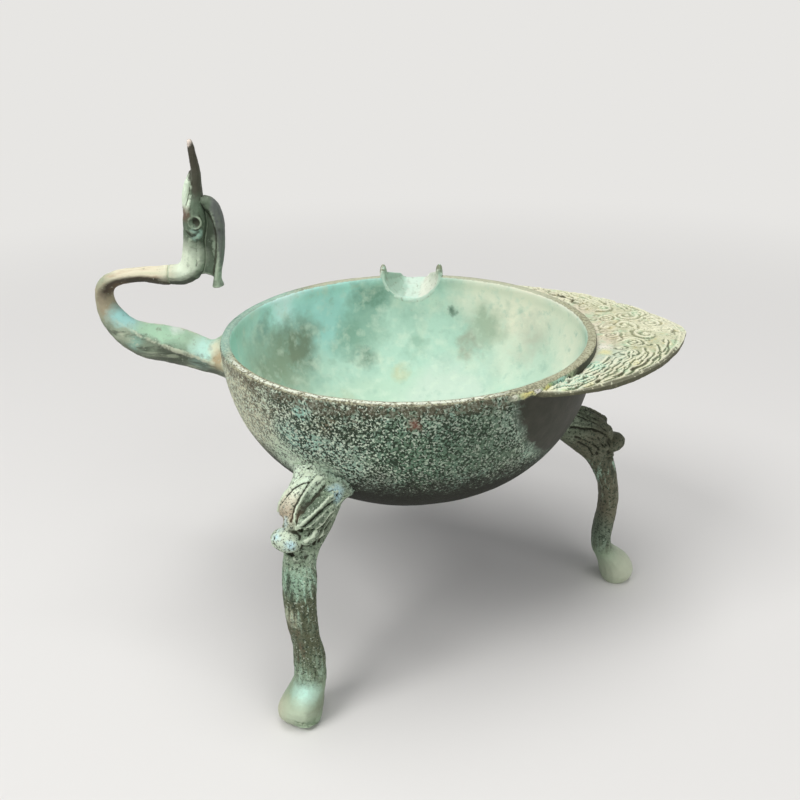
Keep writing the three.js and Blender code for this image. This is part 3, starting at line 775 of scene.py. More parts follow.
# %% Coats
class Coat:
    """One patina. Sizes and places are in millimetres, colours in hundredths, and top is a mask's most."""

    def __init__(self, name, ground, rag):
        self.material = bpy.data.materials.new(name)
        self.material.use_nodes = True
        self.tree = self.material.node_tree
        self.shader = self.tree.nodes["Principled BSDF"].inputs
        self.shader["Specular IOR Level"].default_value = 0.25
        self.colour = paint(ground)
        self.relief = None
        where = self.node("ShaderNodeTexCoord", {}, {}).outputs
        self.place = where["Object"]
        self.normal = where["Normal"]
        self.ragged = self.torn(1.4 * rag, 3 * rag, 11)

    def node(self, kind, settings, inputs):
        return add_node(self.tree, kind, settings, inputs)

    def vector(self, operation, first, second, output="Vector"):
        made = self.node("ShaderNodeVectorMath", {"operation": operation}, {0: first, 1: second})
        return made.outputs[output]

    def sum(self, operation, first, second):
        return self.node("ShaderNodeMath", {"operation": operation}, {0: first, 1: second}).outputs["Value"]

    def noise(self, size, detail=3.0, grit=0.6, seed=0.0, stretch=None, output="Fac"):
        place = self.vector("MULTIPLY", self.place, stretch) if stretch else self.place
        inputs = {"Vector": place, "W": seed, "Scale": 1 / (size * MM), "Detail": detail, "Roughness": grit}
        return self.node("ShaderNodeTexNoise", {"noise_dimensions": "4D"}, inputs).outputs[output]

    def torn(self, size, push, seed):
        """Places pushed about by a noise, so that what is read there gets a torn outline."""
        cloud = self.noise(size, detail=5.0, seed=seed, output="Color")
        shift = self.vector("SUBTRACT", cloud, (0.5, 0.5, 0.5))
        return self.vector("ADD", self.place, self.vector("MULTIPLY", shift, (push * MM,) * 3))

    def step(self, value, low, high, top=1.0):
        inputs = {"Value": value, "From Min": low, "From Max": high, "To Max": top}
        return self.node("ShaderNodeMapRange", {}, inputs).outputs["Result"]

    def grain(self, size, low, high, top=1.0, **settings):
        return self.step(self.noise(size, **settings), low, high, top)

    def patch(self, at, radius, top=1.0, soft=0.5, places=None):
        """A ragged round patch about a place that is given from the bowl's axis and the table."""
        gap = self.vector("DISTANCE", places or self.ragged, from_axis(*at), "Value")
        return self.step(gap, radius * (1 + soft) * MM, radius * (1 - soft) * MM, top)

    def height(self, low, high, top=1.0, places=None):
        z = self.node("ShaderNodeSeparateXYZ", {}, {0: places or self.ragged}).outputs["Z"]
        return self.step(z, low * MM, high * MM, top)

    def without(self, mask, share=1.0):
        """What a mask leaves free."""
        return self.sum("SUBTRACT", 1.0, self.sum("MULTIPLY", mask, share))

    def beyond(self, at, direction, low, high, top=1.0):
        """The side of a plane through a place, from low to high millimetres along the direction."""
        along = Vector(direction).normalized()
        start = Vector(from_axis(*at)).dot(along)
        reach = self.vector("DOT_PRODUCT", self.ragged, tuple(along), "Value")
        return self.step(reach, start + low * MM, start + high * MM, top)

    def from_middle(self, low, high, top=1.0, places=None):
        """Distance from the bowl's axis."""
        flat = self.vector("MULTIPLY", places or self.ragged, (1.0, 1.0, 0.0))
        gap = self.vector("DISTANCE", flat, (AXIS_X, AXIS_Y, 0.0), "Value")
        return self.step(gap, low * MM, high * MM, top)

    def facing(self, direction, low, high, top=1.0):
        return self.step(self.vector("DOT_PRODUCT", self.normal, direction, "Value"), low, high, top)

    def read(self, name, low, high, top=1.0):
        value = self.node("ShaderNodeAttribute", {"attribute_name": name}, {}).outputs["Fac"]
        return self.step(value, low, high, top)

    def lay(self, colour, *masks):
        mask = masks[0]
        for further in masks[1:]:
            mask = self.sum("MULTIPLY", mask, further)
        mixed = self.node("ShaderNodeMix", {"data_type": "RGBA"}, {})
        layer = paint(colour) if isinstance(colour, tuple) else colour
        for name, value in (("Factor", mask), ("A", self.colour), ("B", layer)):
            feed(self.tree, next(s for s in mixed.inputs if s.name == name and s.enabled), value)
        self.colour = next(s for s in mixed.outputs if s.enabled)
        return mask

    def spots(self, rows, *masks, soft=0.5, places=None):
        """Patches that share their masks: the place, the radius, the colour and how much of it."""
        for out, side, up, radius, colour, top in rows:
            self.lay(colour, self.patch((out, side, up), radius, top, soft, places), *masks)

    def raise_by(self, mask, height):
        """Height in millimetres of a crust, or its depth where it is negative."""
        part = self.sum("MULTIPLY", mask, height)
        self.relief = part if self.relief is None else self.sum("ADD", self.relief, part)

    def finish(self, rough, smooth_mask=None, smooth=0.4):
        if smooth_mask is not None:
            inputs = {"Value": smooth_mask, "To Min": rough, "To Max": smooth}
            rough = self.node("ShaderNodeMapRange", {}, inputs).outputs["Result"]
        bump = self.node("ShaderNodeBump", {}, {"Height": self.relief, "Distance": MM})
        feed(self.tree, self.shader["Base Color"], self.colour)
        feed(self.tree, self.shader["Roughness"], rough)
        feed(self.tree, self.shader["Normal"], bump.outputs["Normal"])
        return self.material


# %% Colours of the patina
# Written in hundredths of red, green and blue light
SOIL = (3.5, 3.6, 2)
DEEP_GREEN = (2.2, 3.8, 2.2)
SEA_GREEN = (26, 35, 26)
LEAF_GREEN = (10, 20, 12)
TURQUOISE = (40, 72, 60)
MINT = (47, 67, 55)
PALE_MINT = (50, 67, 53)
CREAM = (68, 68, 50)
CRUST = (62, 69, 55)
OLIVE = (20, 21, 12)
UMBER = (13, 8.8, 5)
OCHRE = (56, 49, 24)
RUST = (24, 10, 7)
YELLOW = (80, 72, 24)
STAIN = (16, 12.5, 7.5)
RUN_GREEN = (36, 68, 52)
STRAW = (74, 68, 30)
DRAB = (24, 25, 14)

# %% [markdown]
# ## The bowl's patina
# Outside, dark grains stand close together over a grey green, as on a surface that was etched and waxed.
# They give way to a painted shadow of the tail plate, nearly black and smoother, and to pale smears at the
# near leg's root, and towards the bottom the outside is darkened with painted shade. Inside, the wash was
# thin and wet, so it dried in soft clouds from turquoise at the left to cream at the right, and thickest on
# the floor.

# %% Outside of the bowl
def bowl_outside(coat):
    lay, spots, patch = coat.lay, coat.spots, coat.patch
    grain, height, without = coat.grain, coat.height, coat.without
    lay((40, 58, 46), grain(13, 0.42, 0.64, seed=1))
    lay((46, 70, 58), grain(4, 0.56, 0.66, 0.6, seed=17))
    lay((17, 18, 11), grain(8, 0.48, 0.66, 0.7, seed=2))
    # Darker green across the middle and right of the front: patina, partly painted shade for light that falls
    # off to the right
    spots((
        (-3, -59, 88, 11, LEAF_GREEN, 0.75), (15, -57, 86, 12, LEAF_GREEN, 0.75),
        (2, -55, 78, 8, LEAF_GREEN, 0.75), (24, -55, 86, 16, (9, 14, 9), 0.75),
    ))
    # Pale cream on the left flank: patina, partly painted light on the side that faces the window lamp
    left = patch((-52, -32, 88), 19)
    lay((68, 69, 50), left)
    spots((
        (-44, -42, 84, 8, CREAM, 0.5), (-33, -48, 86, 5.5, TURQUOISE, 0.5),
        (-26, -52, 85, 4, TURQUOISE, 0.4), (-29, -52, 95, 2.6, TURQUOISE, 0.7),
        (-27, -51, 82, 3.4, MINT, 0.6), (-36, -42, 74, 7, (56, 72, 54), 0.85),
        (-30, -45, 73, 7, (68, 84, 66), 0.85), (-20, -54, 74, 6.5, (42, 64, 50), 0.6),
        (-12, -56, 72, 6, CRUST, 0.35), (30, -50, 91, 5, (36, 48, 38), 0.7),
        (37, -43, 80, 6, (34, 50, 38), 0.75),
    ))
    brown = grain(1.5, 0.46, 0.58, detail=4, seed=3, stretch=(0.6, 0.6, 1.2))
    spots((
        (-45, -40, 97, 11, STAIN, 0.75), (-30, -52, 97, 9, STAIN, 0.75),
        (-12, -58, 98, 6, STAIN, 0.75), (-20, -55, 93, 5, STAIN, 0.75),
    ), brown)
    # Painted shadow of the tail plate: nearly black with only faint grains, and the later grains are kept out
    # of it
    painted_tail_shadow = patch((60, -35, 104), 37, soft=0.05)
    outside_tail_shadow = without(painted_tail_shadow)
    lay((3, 3.2, 2), painted_tail_shadow)
    lay((5.5, 5.2, 3.8), painted_tail_shadow, grain(5, 0.45, 0.65, 0.6, detail=5, seed=13))
    fine = coat.noise(0.75, detail=1.6, seed=4)
    cover = coat.noise(6, seed=5)
    uneven = coat.sum("ADD", fine, coat.step(cover, 0.3, 0.7, 0.16))
    dark = lay(DEEP_GREEN, coat.step(uneven, 0.56, 0.585, 0.95), outside_tail_shadow, without(left, 0.4))
    lay(SOIL, grain(2.4, 0.58, 0.66, 0.55, detail=6, grit=0.7, seed=6), outside_tail_shadow)
    crumbs = grain(0.6, 0.56, 0.59, 0.9, detail=1, seed=7)
    pale = lay((70, 80, 64), crumbs, outside_tail_shadow, without(patch((20, -56, 86), 20), 0.5))
    lay(RUST, patch((1.4, -59.8, 95), 1.5, 0.7))
    away = without(patch((-34, -47, 72), 11))
    # Painted shade: darker towards the bottom, except at the near leg's root
    lay((1.2, 1.3, 0.8), height(79, 72, 0.85), away, grain(0.9, 0.4, 0.48, detail=2, seed=18))
    lay((1.4, 1.5, 0.9), height(74, 67, 0.96), away)
    lay((13, 11, 7), height(95.5, 98, 0.7), grain(1.3, 0.42, 0.52, seed=8), outside_tail_shadow)
    spots((
        (-31.5, -43.5, 72.5, 4.4, (86, 100, 80), 0.95), (-24, -50, 75.5, 3.6, (52, 66, 50), 0.6),
    ), soft=0.6)
    return painted_tail_shadow, dark, pale


# %% Inside of the bowl
def bowl_inside(coat):
    lay, grain = coat.lay, coat.grain
    coat.colour = paint(MINT)
    lay((34, 52, 42), grain(14, 0.45, 0.66, 0.75, detail=4, seed=21))
    lay((62, 72, 57), grain(9, 0.5, 0.68, 0.65, detail=4, seed=22))
    fray = coat.torn(12, 26, 25)
    coat.spots((
        (-45, 34, 99, 19, (56, 92, 84), 0.95), (-57, -4, 96, 14, TURQUOISE, 0.9),
        (-43, 37, 98, 8, (80, 100, 97), 0.9), (-36, 42, 93, 7, (60, 96, 90), 0.8),
        (-24, 52, 99, 13, (50, 86, 77), 0.9), (-31, 46, 86, 11, (36, 66, 60), 0.85),
        (45, 35, 92, 20, (95, 90, 73), 0.95), (55, 14, 92, 18, (90, 90, 74), 0.95),
        (50, 26, 76, 12, MINT, 0.6), (30, 48, 96, 12, (88, 87, 71), 0.85),
        (-42, 34, 79, 9, (17, 21, 14), 0.9), (-47, 20, 78, 12, (27, 33, 22), 0.8),
        (-50, 22, 92, 5, (22, 36, 30), 0.7), (-15, 56, 93, 7, (17, 31, 23), 0.9),
        (-19, 50, 80, 8, (20, 36, 27), 0.8), (-16, 47, 70, 4, (14, 24, 18), 0.75),
        (31, 46, 83, 8, (34, 44, 32), 0.8), (23, 46, 75, 4, (36, 38, 29), 0.8),
        (5, 52, 72, 4, (30, 46, 35), 0.7), (44, 30, 84, 7, (52, 50, 40), 0.6),
        (-36, 14, 64, 12, (40, 56, 42), 0.7),
    ), soft=0.55, places=fray)
    lay((10, 17, 12), coat.patch((17.5, 53.5, 87), 1.7, 0.9))
    lay(PALE_MINT, coat.height(67, 62, 0.85))
    coat.spots((
        (14, 30, 60, 17, (57, 68, 58), 0.9), (-22, 24, 62, 8, (50, 58, 42), 0.7),
    ), soft=0.3, places=fray)
    lay(OCHRE, coat.patch((-3, 44.5, 65), 3, 0.5, 0.6))
    lay((34, 52, 42), grain(5, 0.55, 0.68, 0.5, detail=5, seed=23))
    lay((68, 78, 64), grain(5, 0.52, 0.68, 0.45, seed=24))
    lay(OLIVE, grain(1.6, 0.62, 0.7, 0.2, detail=5, grit=0.7, seed=26))


# %% Lip of the bowl
def bowl_lip(coat):
    lay, grain, beyond, from_middle = coat.lay, coat.grain, coat.beyond, coat.from_middle
    outer = from_middle(58.2, 58.8)
    run = beyond((25, -54, 100), (0.88, 0.47, 0), 0, 2.5)
    edge = beyond((45, -36, 100), (-0.7, -0.7, 0), -3, 1)
    high = coat.height(97.6, 98.4)
    lay((40, 47, 30), outer, run, edge, high)
    coat.spots((
        (27, -53.5, 99.7, 1.6, (80, 78, 66), 0.8), (31.4, -50.5, 100.0, 2.2, YELLOW, 0.8),
        (34.4, -49.4, 99.6, 1.2, (86, 82, 78), 0.8), (38, -46.5, 99.5, 1.8, YELLOW, 0.8),
        (38.5, -44.8, 100.2, 1.6, (22, 44, 28), 0.8), (42, -42.4, 100, 2.4, TURQUOISE, 0.8),
    ), outer, run, edge, high)
    lay(SOIL, grain(0.8, 0.52, 0.58, 0.7, detail=2, seed=15), outer, run, high)
    close = coat.torn(1, 0.8, 16)
    top = coat.height(99.9, 100.15, places=close)
    lay((15, 14.5, 9), top)
    lay((30, 29.5, 19), top, beyond((25, 0, 100), (1, 0, 0), 0, 14, 0.7))
    lay((46, 46, 31), top, grain(0.6, 0.46, 0.53, 0.85, detail=2, seed=14))
    # Painted highlight: a broken pale line along the crown of the lip at the front left
    lip_crown_highlight = coat.sum("MULTIPLY", from_middle(57.8, 58.3, places=close), from_middle(59.4, 59.0, places=close))
    lay((82, 86, 72), top, lip_crown_highlight, grain(0.7, 0.43, 0.49, 0.95, detail=2, seed=9),
        beyond((0, -40, 100), (-0.35, -1, 0), 0, 8))
    lay((36, 62, 52), top, beyond((-45, 0, 100), (-1, 0.2, 0), 0, 8, 0.6))
    lay((50, 52, 38), top, beyond((0, 30, 100), (0.2, 1, 0), 0, 12, 0.7))


# %% Bowl patina
def bowl_patina():
    coat = Coat("bowl_patina", SEA_GREEN, 2.6)
    painted_tail_shadow, dark, pale = bowl_outside(coat)
    outside = coat.colour
    bowl_inside(coat)
    within = coat.colour
    coat.colour = outside
    inside = coat.lay(within, coat.read("inside", 0.3, 0.7))
    bowl_lip(coat)
    rough_side = coat.sum("SUBTRACT", 1.0, inside)
    coat.raise_by(coat.sum("MULTIPLY", dark, rough_side), -0.12)
    coat.raise_by(coat.sum("MULTIPLY", pale, rough_side), 0.1)
    coat.raise_by(coat.noise(1.6, detail=4, seed=12), 0.1)
    return coat.finish(0.74, painted_tail_shadow, 0.55)


# %% [markdown]
# ## Spout and tail plate
# The spout takes the inside's mint, with olive soil on its horns. The tail plate is the brightest piece: a
# cream and yellow crust lies on the relief, and dark olive soil shows every groove. Turquoise has run along
# the rim at the near side, and yellow crumbs lie at the root.

# %% Spout and tail patinas
def spout_patina():
    coat = Coat("spout_patina", (60, 73, 62), 1.2)
    lay, grain, facing = coat.lay, coat.grain, coat.facing
    lay(TURQUOISE, grain(5, 0.48, 0.66, 0.5, seed=31))
    # Painted light from the left: faces that look right are painted darker, faces that look left paler
    lay((33, 49, 38), facing((1, 0, 0.1), 0.25, 0.6, 0.8))
    lay((74, 76, 64), facing((-1, 0, 0.1), 0.2, 0.55, 0.9))
    lay(OLIVE, grain(2, 0.56, 0.66, 0.5, detail=5, grit=0.7, seed=32))
    lay((20, 22, 13), coat.height(100.6, 103.2, 0.9), grain(1.4, 0.36, 0.5, seed=33))
    lay(SOIL, facing((0, 0.2, -1), 0.1, 0.5, 0.6))
    lay(OLIVE, coat.read("hollow", 0.04, 0.16, 0.6))
    coat.raise_by(coat.noise(1.2, detail=4, seed=34), 0.14)
    return coat.finish(0.7)


def tail_patina():
    coat = Coat("tail_patina", (50, 51, 33), 1.6)
    lay, grain, read = coat.lay, coat.grain, coat.read
    lay((62, 62, 43), grain(6, 0.42, 0.6, 0.8, seed=41))
    lay((66, 60, 46), coat.from_middle(69, 63.5, 0.8))
    lay((74, 73, 55), coat.patch((86, 3, 98), 10, 0.8, 0.6))
    lay(OCHRE, grain(3, 0.54, 0.64, 0.6, detail=5, seed=42))
    lay((44, 62, 42), grain(5, 0.52, 0.66, 0.7, detail=4, seed=43))
    coat.spots((
        (60, -23, 98, 7, (46, 60, 48), 0.6), (42, -45, 98, 4.5, RUN_GREEN, 0.85),
        (48, -39, 98, 4, RUN_GREEN, 0.85), (54, -31, 98, 3.4, RUN_GREEN, 0.85),
        (37, -48.5, 98, 2, STRAW, 0.65), (43, -48, 98, 1.8, STRAW, 0.65),
        (50, -44, 98, 2, STRAW, 0.65), (59.5, -20, 98, 2, STRAW, 0.65),
        (66, -30, 98, 2.2, STRAW, 0.65), (59.5, -15.6, 98, 2.4, (80, 76, 66), 0.8),
        (65.5, -8.6, 98, 3, (42, 34, 22), 0.6),
    ))
    lay((38, 35, 21), grain(4, 0.47, 0.6, 0.6, detail=4, seed=47), coat.patch((67, 8, 98), 13, 0.9))
    coat.spots((
        (46, -45.5, 98, 2.2, DRAB, 0.85), (52, -42, 98, 2.6, DRAB, 0.85),
        (58, -38, 98, 2.6, DRAB, 0.85), (65, -32, 98, 2.6, DRAB, 0.85),
    ), grain(1.1, 0.46, 0.54, detail=4, seed=48), soft=0.6)
    near = coat.beyond((66, -6, 98), (0.25, -1, 0), 0, 12)
    soil = lay((16, 18, 10), read("hollow", 0.02, 0.12, 0.6))
    lay((11, 14, 8), read("hollow", 0.012, 0.08, 0.8), near)
    lay((80, 79, 60), read("hollow", -0.02, -0.1, 0.7))
    lay(DRAB, grain(0.8, 0.56, 0.63, 0.7, grit=0.7, seed=44))
    lay((78, 78, 62), grain(0.7, 0.6, 0.66, 0.7, grit=0.7, seed=45))
    # Painted shade: darker on the plate's sides and darker still on its underside
    lay((13, 12.5, 7.5), coat.facing((0, 0, 1), 0.76, 0.4, 0.94))
    lay((7, 7, 4.5), coat.facing((0, 0, -1), 0.3, 0.7, 0.95))
    lay((9, 9, 5.5), read("edge", 0.3, 0.65, 0.9), grain(1.2, 0.34, 0.46, seed=49))
    coat.raise_by(soil, -0.06)
    coat.raise_by(coat.noise(1, detail=4, grit=0.7, seed=46), 0.14)
    return coat.finish(0.7)


# %% [markdown]
# ## Handle
# Light from above is painted on the neck: cream on the faces of the run that look up, back to the head, and
# near black on the faces that look down. It is brown at the bend, and bright turquoise is left on the upper
# flat of the lower bow. Below the edge it is dark, partly with painted shade. The head and crest are the
# darkest pieces, nearly bare metal under a green brown skin and darkened further by painted shade, with pale
# crust in the beak's split.

# %% Neck patina
def neck_patina():
    coat = Coat("neck_patina", (34, 48, 34), 1.4)
    lay, patch, grain = coat.lay, coat.patch, coat.grain
    facing, beyond, step = coat.facing, coat.beyond, coat.step
    lay((46, 62, 45), grain(6, 0.45, 0.6, 0.8, seed=51))
    lay((42, 67, 46), patch((-80, -2, 101), 8, 0.8, 0.6))
    coat.spots((
        (-94, -2, 111, 8, (40, 33, 22), 0.9), (-90.9, -1.8, 105.4, 4.2, (40, 74, 70), 0.95),
        (-66, -3, 94.5, 4, (58, 88, 76), 0.95), (-62.2, -3.1, 95.5, 2.4, (74, 72, 52), 0.85),
        # The last spot is a painted highlight on the upper edge of the run
        (-75, 0, 101, 2.2, (80, 86, 78), 0.7),
    ))
    low = beyond((-67.4, -4.8, 92.4), (-0.4008, 0, -0.9162), -0.5, 0.7)
    below = coat.height(106, 102)
    # The lower facet's darker ground is partly painted shade below the edge, under the streaks and spots of
    # patina
    lay((17, 20.5, 14.5), low, below)
    coat.spots((
        (-87.7, -4.8, 97.5, 2.8, (30, 52, 42), 0.85), (-84, -4, 96, 3, (26, 33, 23), 0.8),
        (-92, -4, 101, 3.4, (42, 50, 36), 0.8), (-76, -4.5, 93, 4, (7, 9, 6), 0.8),
        (-68, -4, 90, 3, (24, 36, 30), 0.7), (-61, -6, 92.1, 3, (58, 44, 26), 0.85),
    ), below)
    upper = coat.height(110, 115)
    run = beyond((-92, 0, 116), (1, 0, 0.5), -2, 3)
    # Painted light from above: cream on the faces of the run that look up
    lay((74, 68, 50), facing((-0.15, -0.35, 1), 0, 0.5, 0.95), upper, run)
    drawn = coat.noise(2, detail=4, seed=56, stretch=(0.16, 1.0, 1.0))
    lay((7, 9, 6), low, below, step(drawn, 0.52, 0.6, 0.7))
    lay((44, 50, 36), low, below, step(drawn, 0.44, 0.36, 0.6))
    lay((50, 38, 25), upper, step(drawn, 0.5, 0.62, 0.7), facing((0, -1, 0.3), 0.3, 0.9))
    lay((60, 62, 42), upper, step(drawn, 0.48, 0.36, 0.6), patch((-78, -3, 119), 6))
    # Painted shade: near black on faces that look down, and dark brown under the upper run
    lay((3.5, 3.7, 2.7), facing((0.1, 0.1, -1), 0.42, 0.85, 0.97))
    lay((5, 3.8, 2.6), facing((0, -0.45, -1), 0.12, 0.55, 0.97), upper)
    # Painted light: the cream of the run's top, carried to the seat of the head on faces that look up
    lay((70, 71, 53), beyond((-78.5, 0, 119), (1, 0, 0), 0, 3, 0.7), upper, facing((0, -0.3, 1), -0.3, 0.3))
    # Painted shade on the inner side of the bend, where it looks down
    lay((16, 11, 7), patch((-91, -1, 116), 3.4, 0.7), facing((0.6, 0, -0.6), 0.1, 0.6))
    lay(UMBER, grain(3, 0.58, 0.68, 0.5, detail=5, grit=0.7, seed=53), below)
    lay((66, 70, 52), coat.read("hollow", -0.06, -0.16, 0.7), below, grain(3, 0.4, 0.56, seed=57))
    lay(CRUST, grain(0.9, 0.62, 0.68, 0.5, grit=0.7, seed=54))
    lay(OLIVE, grain(1.3, 0.6, 0.68, 0.5, detail=4, grit=0.7, seed=52))
    lay(SOIL, coat.read("hollow", 0.05, 0.14, 0.6), below)
    coat.raise_by(coat.noise(1, detail=4, grit=0.7, seed=55), 0.16)
    return coat.finish(0.6)


# %% Head patina
def head_patina():
    coat = Coat("head_patina", (11, 15, 10), 1)
    lay, patch, height, beyond = coat.lay, coat.patch, coat.height, coat.beyond
    lay((15, 21, 14), coat.grain(4, 0.46, 0.62, 0.7, seed=61))
    # Painted shade: near black in the channel of the crest's web, next to the neck
    lay((7, 9, 6), patch((-60.3, -1, 130), 6, 0.8))
    # Painted reflection: a slate band along the crest's strap
    lay((16, 17, 16.5), beyond((-59.4, 0, 130), (1, 0, 0), 0, 1.2, 0.85))
    # Pale mint on the head's lower left: patina, partly painted light on the lit side
    lay((82, 92, 72), patch((-68.6, -2.5, 123.2), 5.8, 0.95), beyond((-66, 0, 120), (-0.8, 0, 0.6), -2, 1.5))
    lay((76, 88, 69), beyond((-64.9, 0, 143), (-0.97, 0, 0.2), -0.6, 0.4, 0.95), height(138.5, 140.5),
        height(151.5, 149.5))
    lay((5.5, 5, 3.4), beyond((-64.6, 0, 146), (0.97, 0, 0.24), 0, 1.0, 0.9), height(141, 145))
    lay((5.5, 5, 3.4), height(150, 152, 0.9))
    # Painted highlight: pale pink on the tip of the beak
    lay((90, 78, 68), patch((-64.0, -0.8, 159.2), 1.5, 0.9, 0.4))
    coat.spots(((-66.8, -3, 138.5, 2, (16, 7, 5), 0.7), (-63.6, -3.7, 132.4, 1.7, (44, 66, 54), 0.9)))
    # Painted light: the neck's cream carried on to the head's seat, on faces that look up
    lay((71, 70, 52), beyond((-73, 0, 120), (-1, 0, 0), -2, 1, 0.8), coat.facing((0, -0.3, 1), -0.3, 0.3))
    # Mid green on the web's lower right: patina, partly painted light on the lit side of the channel
    lay((40, 50, 36), beyond((-60.2, 0, 125), (1, 0, 0), 0, 0.6, 0.75), height(132, 129))
    lay((40, 50, 38), coat.grain(1.2, 0.6, 0.7, 0.45, detail=4, grit=0.7, seed=62))
    lay((42, 51, 37), coat.read("hollow", -0.05, -0.13, 0.65), height(140, 138))
    # The strap's outer edge darker still, in the slate of the painted reflection
    lay((9.5, 10.5, 9.5), beyond((-58.8, 0, 130), (1, 0, 0), 0, 1.0, 0.8))
    lay(SOIL, coat.read("hollow", 0.03, 0.1, 0.85), beyond((-71, 0, 120), (1, 0, 0), 0, 2))
    # Painted shade: near black on faces that look down
    lay((4, 4.2, 3), coat.facing((0, -0.3, -1), 0.4, 0.8, 0.9))
    coat.raise_by(coat.noise(0.9, detail=4, grit=0.7, seed=63), 0.14)
    return coat.finish(0.55)


# %% [markdown]
# ## Legs
# On the beast's face the soil draws every line: grooves are almost black, ridges are cream and mint, and a
# few drops of pale blue sit on the nose and brows. The shank is streaked along its length, and the hoof is
# polished by handling to a smooth finish, with a painted highlight in pale green on its front and painted
# shade on its right. The leg under the tail plate is darkened with painted shade.

# %% Leg patina
def leg_patina():
    coat = Coat("leg_patina", (19, 25, 16), 1.2)
    lay, patch, grain = coat.lay, coat.patch, coat.grain
    height, read, step, without = coat.height, coat.read, coat.step, coat.without
    streaks = coat.noise(1.5, detail=4, grit=0.65, seed=71, stretch=(1.0, 1.0, 0.2))
    lay((36, 50, 37), step(streaks, 0.5, 0.6, 0.85))
    lay((5.5, 6.5, 3.5), step(streaks, 0.47, 0.38, 0.9))
    lay((9, 9.5, 5), patch((-29.5, -66.5, 36), 13.5, 0.85, 0.4))
    lay((32, 50, 36), patch((-33.5, -65, 49.5), 5, 0.75))
    lay((58, 60, 42), patch((-35.5, -66, 37), 3, 0.7), step(streaks, 0.42, 0.5))
    lay(UMBER, grain(3.4, 0.56, 0.66, 0.7, detail=5, seed=72, stretch=(1.0, 1.0, 0.5)))
    face = height(50, 54)
    lay((23, 30, 20.5), face)
    lay((40, 50, 36), face, grain(3, 0.42, 0.6, 0.8, detail=4, seed=73))
    lay((50, 40, 29), face, patch((-35, -57, 66.5), 4.6, 0.85))
    coat.spots((
        (-34, -53.5, 71, 3.8, (82, 78, 60), 0.8), (-31, -48.5, 73.5, 5.5, (86, 100, 80), 0.95),
        (-36, -64, 61.5, 4.6, (66, 76, 60), 0.8), (-36.8, -60.5, 66, 2.2, (56, 80, 84), 0.9),
        (-38, -63.5, 63, 1.6, (56, 80, 84), 0.9), (-21, -53, 70, 2.4, (56, 80, 84), 0.9),
        (-33, -65, 61, 1.5, (56, 80, 84), 0.9), (-24, -57.5, 61, 5, (15, 18, 12), 0.75),
        (-27, -58.8, 69.5, 3.8, (8.5, 12, 7.5), 0.85), (-25.5, -60, 65.5, 3.2, (10, 14, 9), 0.5),
    ))
    hoof = height(18, 11)
    lay((28, 37, 25), hoof)
    # Painted highlight: pale green on the front of the near hoof
    lay((64, 100, 86), hoof, patch((-31.8, -69, 12), 3.2, 0.9, 0.8))
    lay((56, 56, 40), hoof, patch((-40, -69, 5), 4.5, 0.8, 0.6))
    lay((58, 68, 50), hoof, patch((-34, -74, 6), 5, 0.8, 0.6))
    # Painted shade on the right side of the near hoof
    lay((20, 23, 15), hoof, patch((-27, -70, 8), 4, 0.7, 0.6))
    lay((56, 60, 45), hoof, patch((78, -3, 5), 8, 0.9))
    # Painted shade: the right leg is darkened, as the bowl shades it
    shaded = lay((10.5, 10, 6.4), patch((72, 4, 46), 29, 0.9, 0.2))
    lay((9, 10, 6.5), patch((-38, 66, 34), 44, 0.5, 0.2))
    # This lightens the lower part of the right leg's painted shade
    lay((19, 18, 12), patch((70, 0, 33), 12, 0.7, 0.3))
    lay((16, 22, 16), patch((67, -3, 22), 6, 0.7))
    shank = coat.sum("MULTIPLY", height(32, 42), without(face))
    lay((46, 68, 52), step(streaks, 0.53, 0.6, 0.65), shank)
    lay((4, 5, 3), step(streaks, 0.46, 0.38, 0.8), shank)
    seat = read("seat", 0.1, 0.75)
    lay((30, 41, 31), seat, without(patch((-31, -48.5, 73.5), 6.5)))
    lay((3, 4.5, 2.8), seat, grain(0.8, 0.5, 0.54, 0.9, detail=2, seed=77),
        without(patch((-31, -48.5, 73.5), 6.5)))
    specks = height(12, 18)
    lay(DEEP_GREEN, grain(0.8, 0.52, 0.57, 0.85, grit=0.75, seed=74), specks)
    lay(CRUST, grain(0.75, 0.59, 0.64, 0.8, grit=0.75, seed=75), specks, without(shaded))
    lay((70, 80, 61), face, read("hollow", -0.13, -0.3, 0.85), coat.beyond((30, 0, 60), (-1, 0, 0), 0, 5),
        without(seat))
    soil = lay((3, 3.2, 1.8), face, read("hollow", 0.03, 0.14, 0.95))
    lay((10, 6, 3), patch((-32, -59, 66), 2.6, 0.5), soil)
    coat.raise_by(soil, -0.1)
    coat.raise_by(coat.noise(0.9, detail=4, grit=0.7, seed=76), 0.2)
    return coat.finish(0.66, hoof, 0.45)


# %% [markdown]
# ## Dressing
# A casting wears one patina from end to end, so each piece gets a single material. The head and its crest
# share one, and so do the three legs.

# %% Dress the pieces
def dress(material, *pieces):
    for piece in pieces:
        piece.data.materials.clear()
        piece.data.materials.append(material)


dress(bowl_patina(), bowl)
dress(spout_patina(), spout)
dress(tail_patina(), tail)
dress(neck_patina(), neck)
dress(head_patina(), head, crest)
dress(leg_patina(), *legs.values())
print("materials:", ", ".join(material.name for material in bpy.data.materials))

# %% [markdown]
# ## Floor and light
# A pale paper sweep without a horizon: far from the washer the paper glows in the colour that the world
# shows to the camera, so the two run into one, and close to it the paper stays plain and takes the shadow.
# One large soft lamp stands high on the left, as in a workshop with one window. A weaker one hangs overhead
# and a very weak one in front, so that undersides stay dark and a lit colour looks as it is written.

# %% Floor
PAPER = (74, 72.5, 70)
PAPER_FAR = (80, 79, 77)


def seen(tree):
    """One for rays that show the background: from the camera, or mirrored on the way."""
    path = add_node(tree, "ShaderNodeLightPath", {}, {}).outputs
    either = {0: path["Is Camera Ray"], 1: path["Is Glossy Ray"]}
    return add_node(tree, "ShaderNodeMath", {"operation": "MAXIMUM"}, either).outputs["Value"]


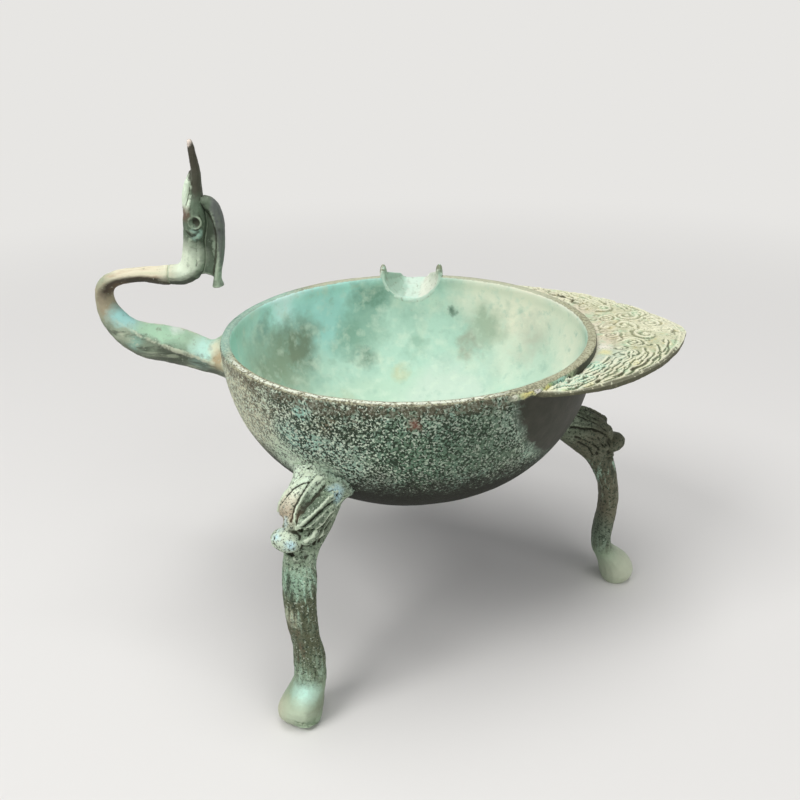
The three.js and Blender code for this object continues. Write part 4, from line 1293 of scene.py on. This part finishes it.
def lay_floor():
    bpy.ops.object.select_all(action="DESELECT")
    bpy.ops.mesh.primitive_plane_add(size=14.0, location=(0.0, 0.0, 0.0))
    floor = bpy.context.object
    floor.name = "floor"
    material = bpy.data.materials.new("floor_paper")
    material.use_nodes = True
    tree = material.node_tree
    shader = tree.nodes["Principled BSDF"]
    shader.inputs["Base Color"].default_value = paint(PAPER)
    shader.inputs["Roughness"].default_value = 0.9
    glow = add_node(tree, "ShaderNodeEmission", {}, {"Color": paint(PAPER_FAR)})
    where = add_node(tree, "ShaderNodeTexCoord", {}, {}).outputs["Object"]
    length = add_node(tree, "ShaderNodeVectorMath", {"operation": "LENGTH"}, {0: where}).outputs["Value"]
    reach = {"Value": length, "From Min": 0.16, "From Max": 0.75}
    far = add_node(tree, "ShaderNodeMapRange", {"interpolation_type": "SMOOTHSTEP"}, reach).outputs["Result"]
    share = add_node(tree, "ShaderNodeMath", {"operation": "MULTIPLY"}, {0: far, 1: seen(tree)})
    blend = add_node(tree, "ShaderNodeMixShader", {}, {0: share.outputs["Value"], 1: shader.outputs["BSDF"],
                                                       2: glow.outputs["Emission"]})
    feed(tree, tree.nodes["Material Output"].inputs["Surface"], blend.outputs["Shader"])
    floor.data.materials.append(material)
    return floor


floor = lay_floor()
print("paper sweep:", round(floor.dimensions.x, 1), "m wide")


# %% Lamps and world
def hang_lamp(name, place, side, watts):
    data = bpy.data.lights.new(name, "AREA")
    data.shape = "SQUARE"
    data.size = side
    data.energy = watts
    lamp = bpy.data.objects.new(name, data)
    bpy.context.collection.objects.link(lamp)
    lamp.location = place
    lamp.rotation_euler = (Vector((0.0, 0.0, 0.08)) - Vector(place)).to_track_quat("-Z", "Y").to_euler()


def fill_world():
    world = bpy.data.worlds.new("studio")
    world.use_nodes = True
    tree = world.node_tree
    dim = tree.nodes["Background"]
    dim.inputs["Color"].default_value = paint((93, 95, 100))
    dim.inputs["Strength"].default_value = 0.27
    pale = add_node(tree, "ShaderNodeBackground", {}, {"Color": paint(PAPER_FAR)})
    blend = add_node(tree, "ShaderNodeMixShader", {}, {0: seen(tree), 1: dim.outputs["Background"],
                                                       2: pale.outputs["Background"]})
    feed(tree, tree.nodes["World Output"].inputs["Surface"], blend.outputs["Shader"])
    bpy.context.scene.world = world


hang_lamp("window", (-0.62, -0.5, 1.05), 0.55, 7.5)
hang_lamp("overhead", (0.05, -0.02, 1.25), 0.7, 7.5)
hang_lamp("fill", (0.8, -0.9, 0.75), 0.9, 4.0)
fill_world()
bpy.context.scene.view_settings.view_transform = "Standard"
print("lamps:", ", ".join(lamp.name for lamp in bpy.data.lights))
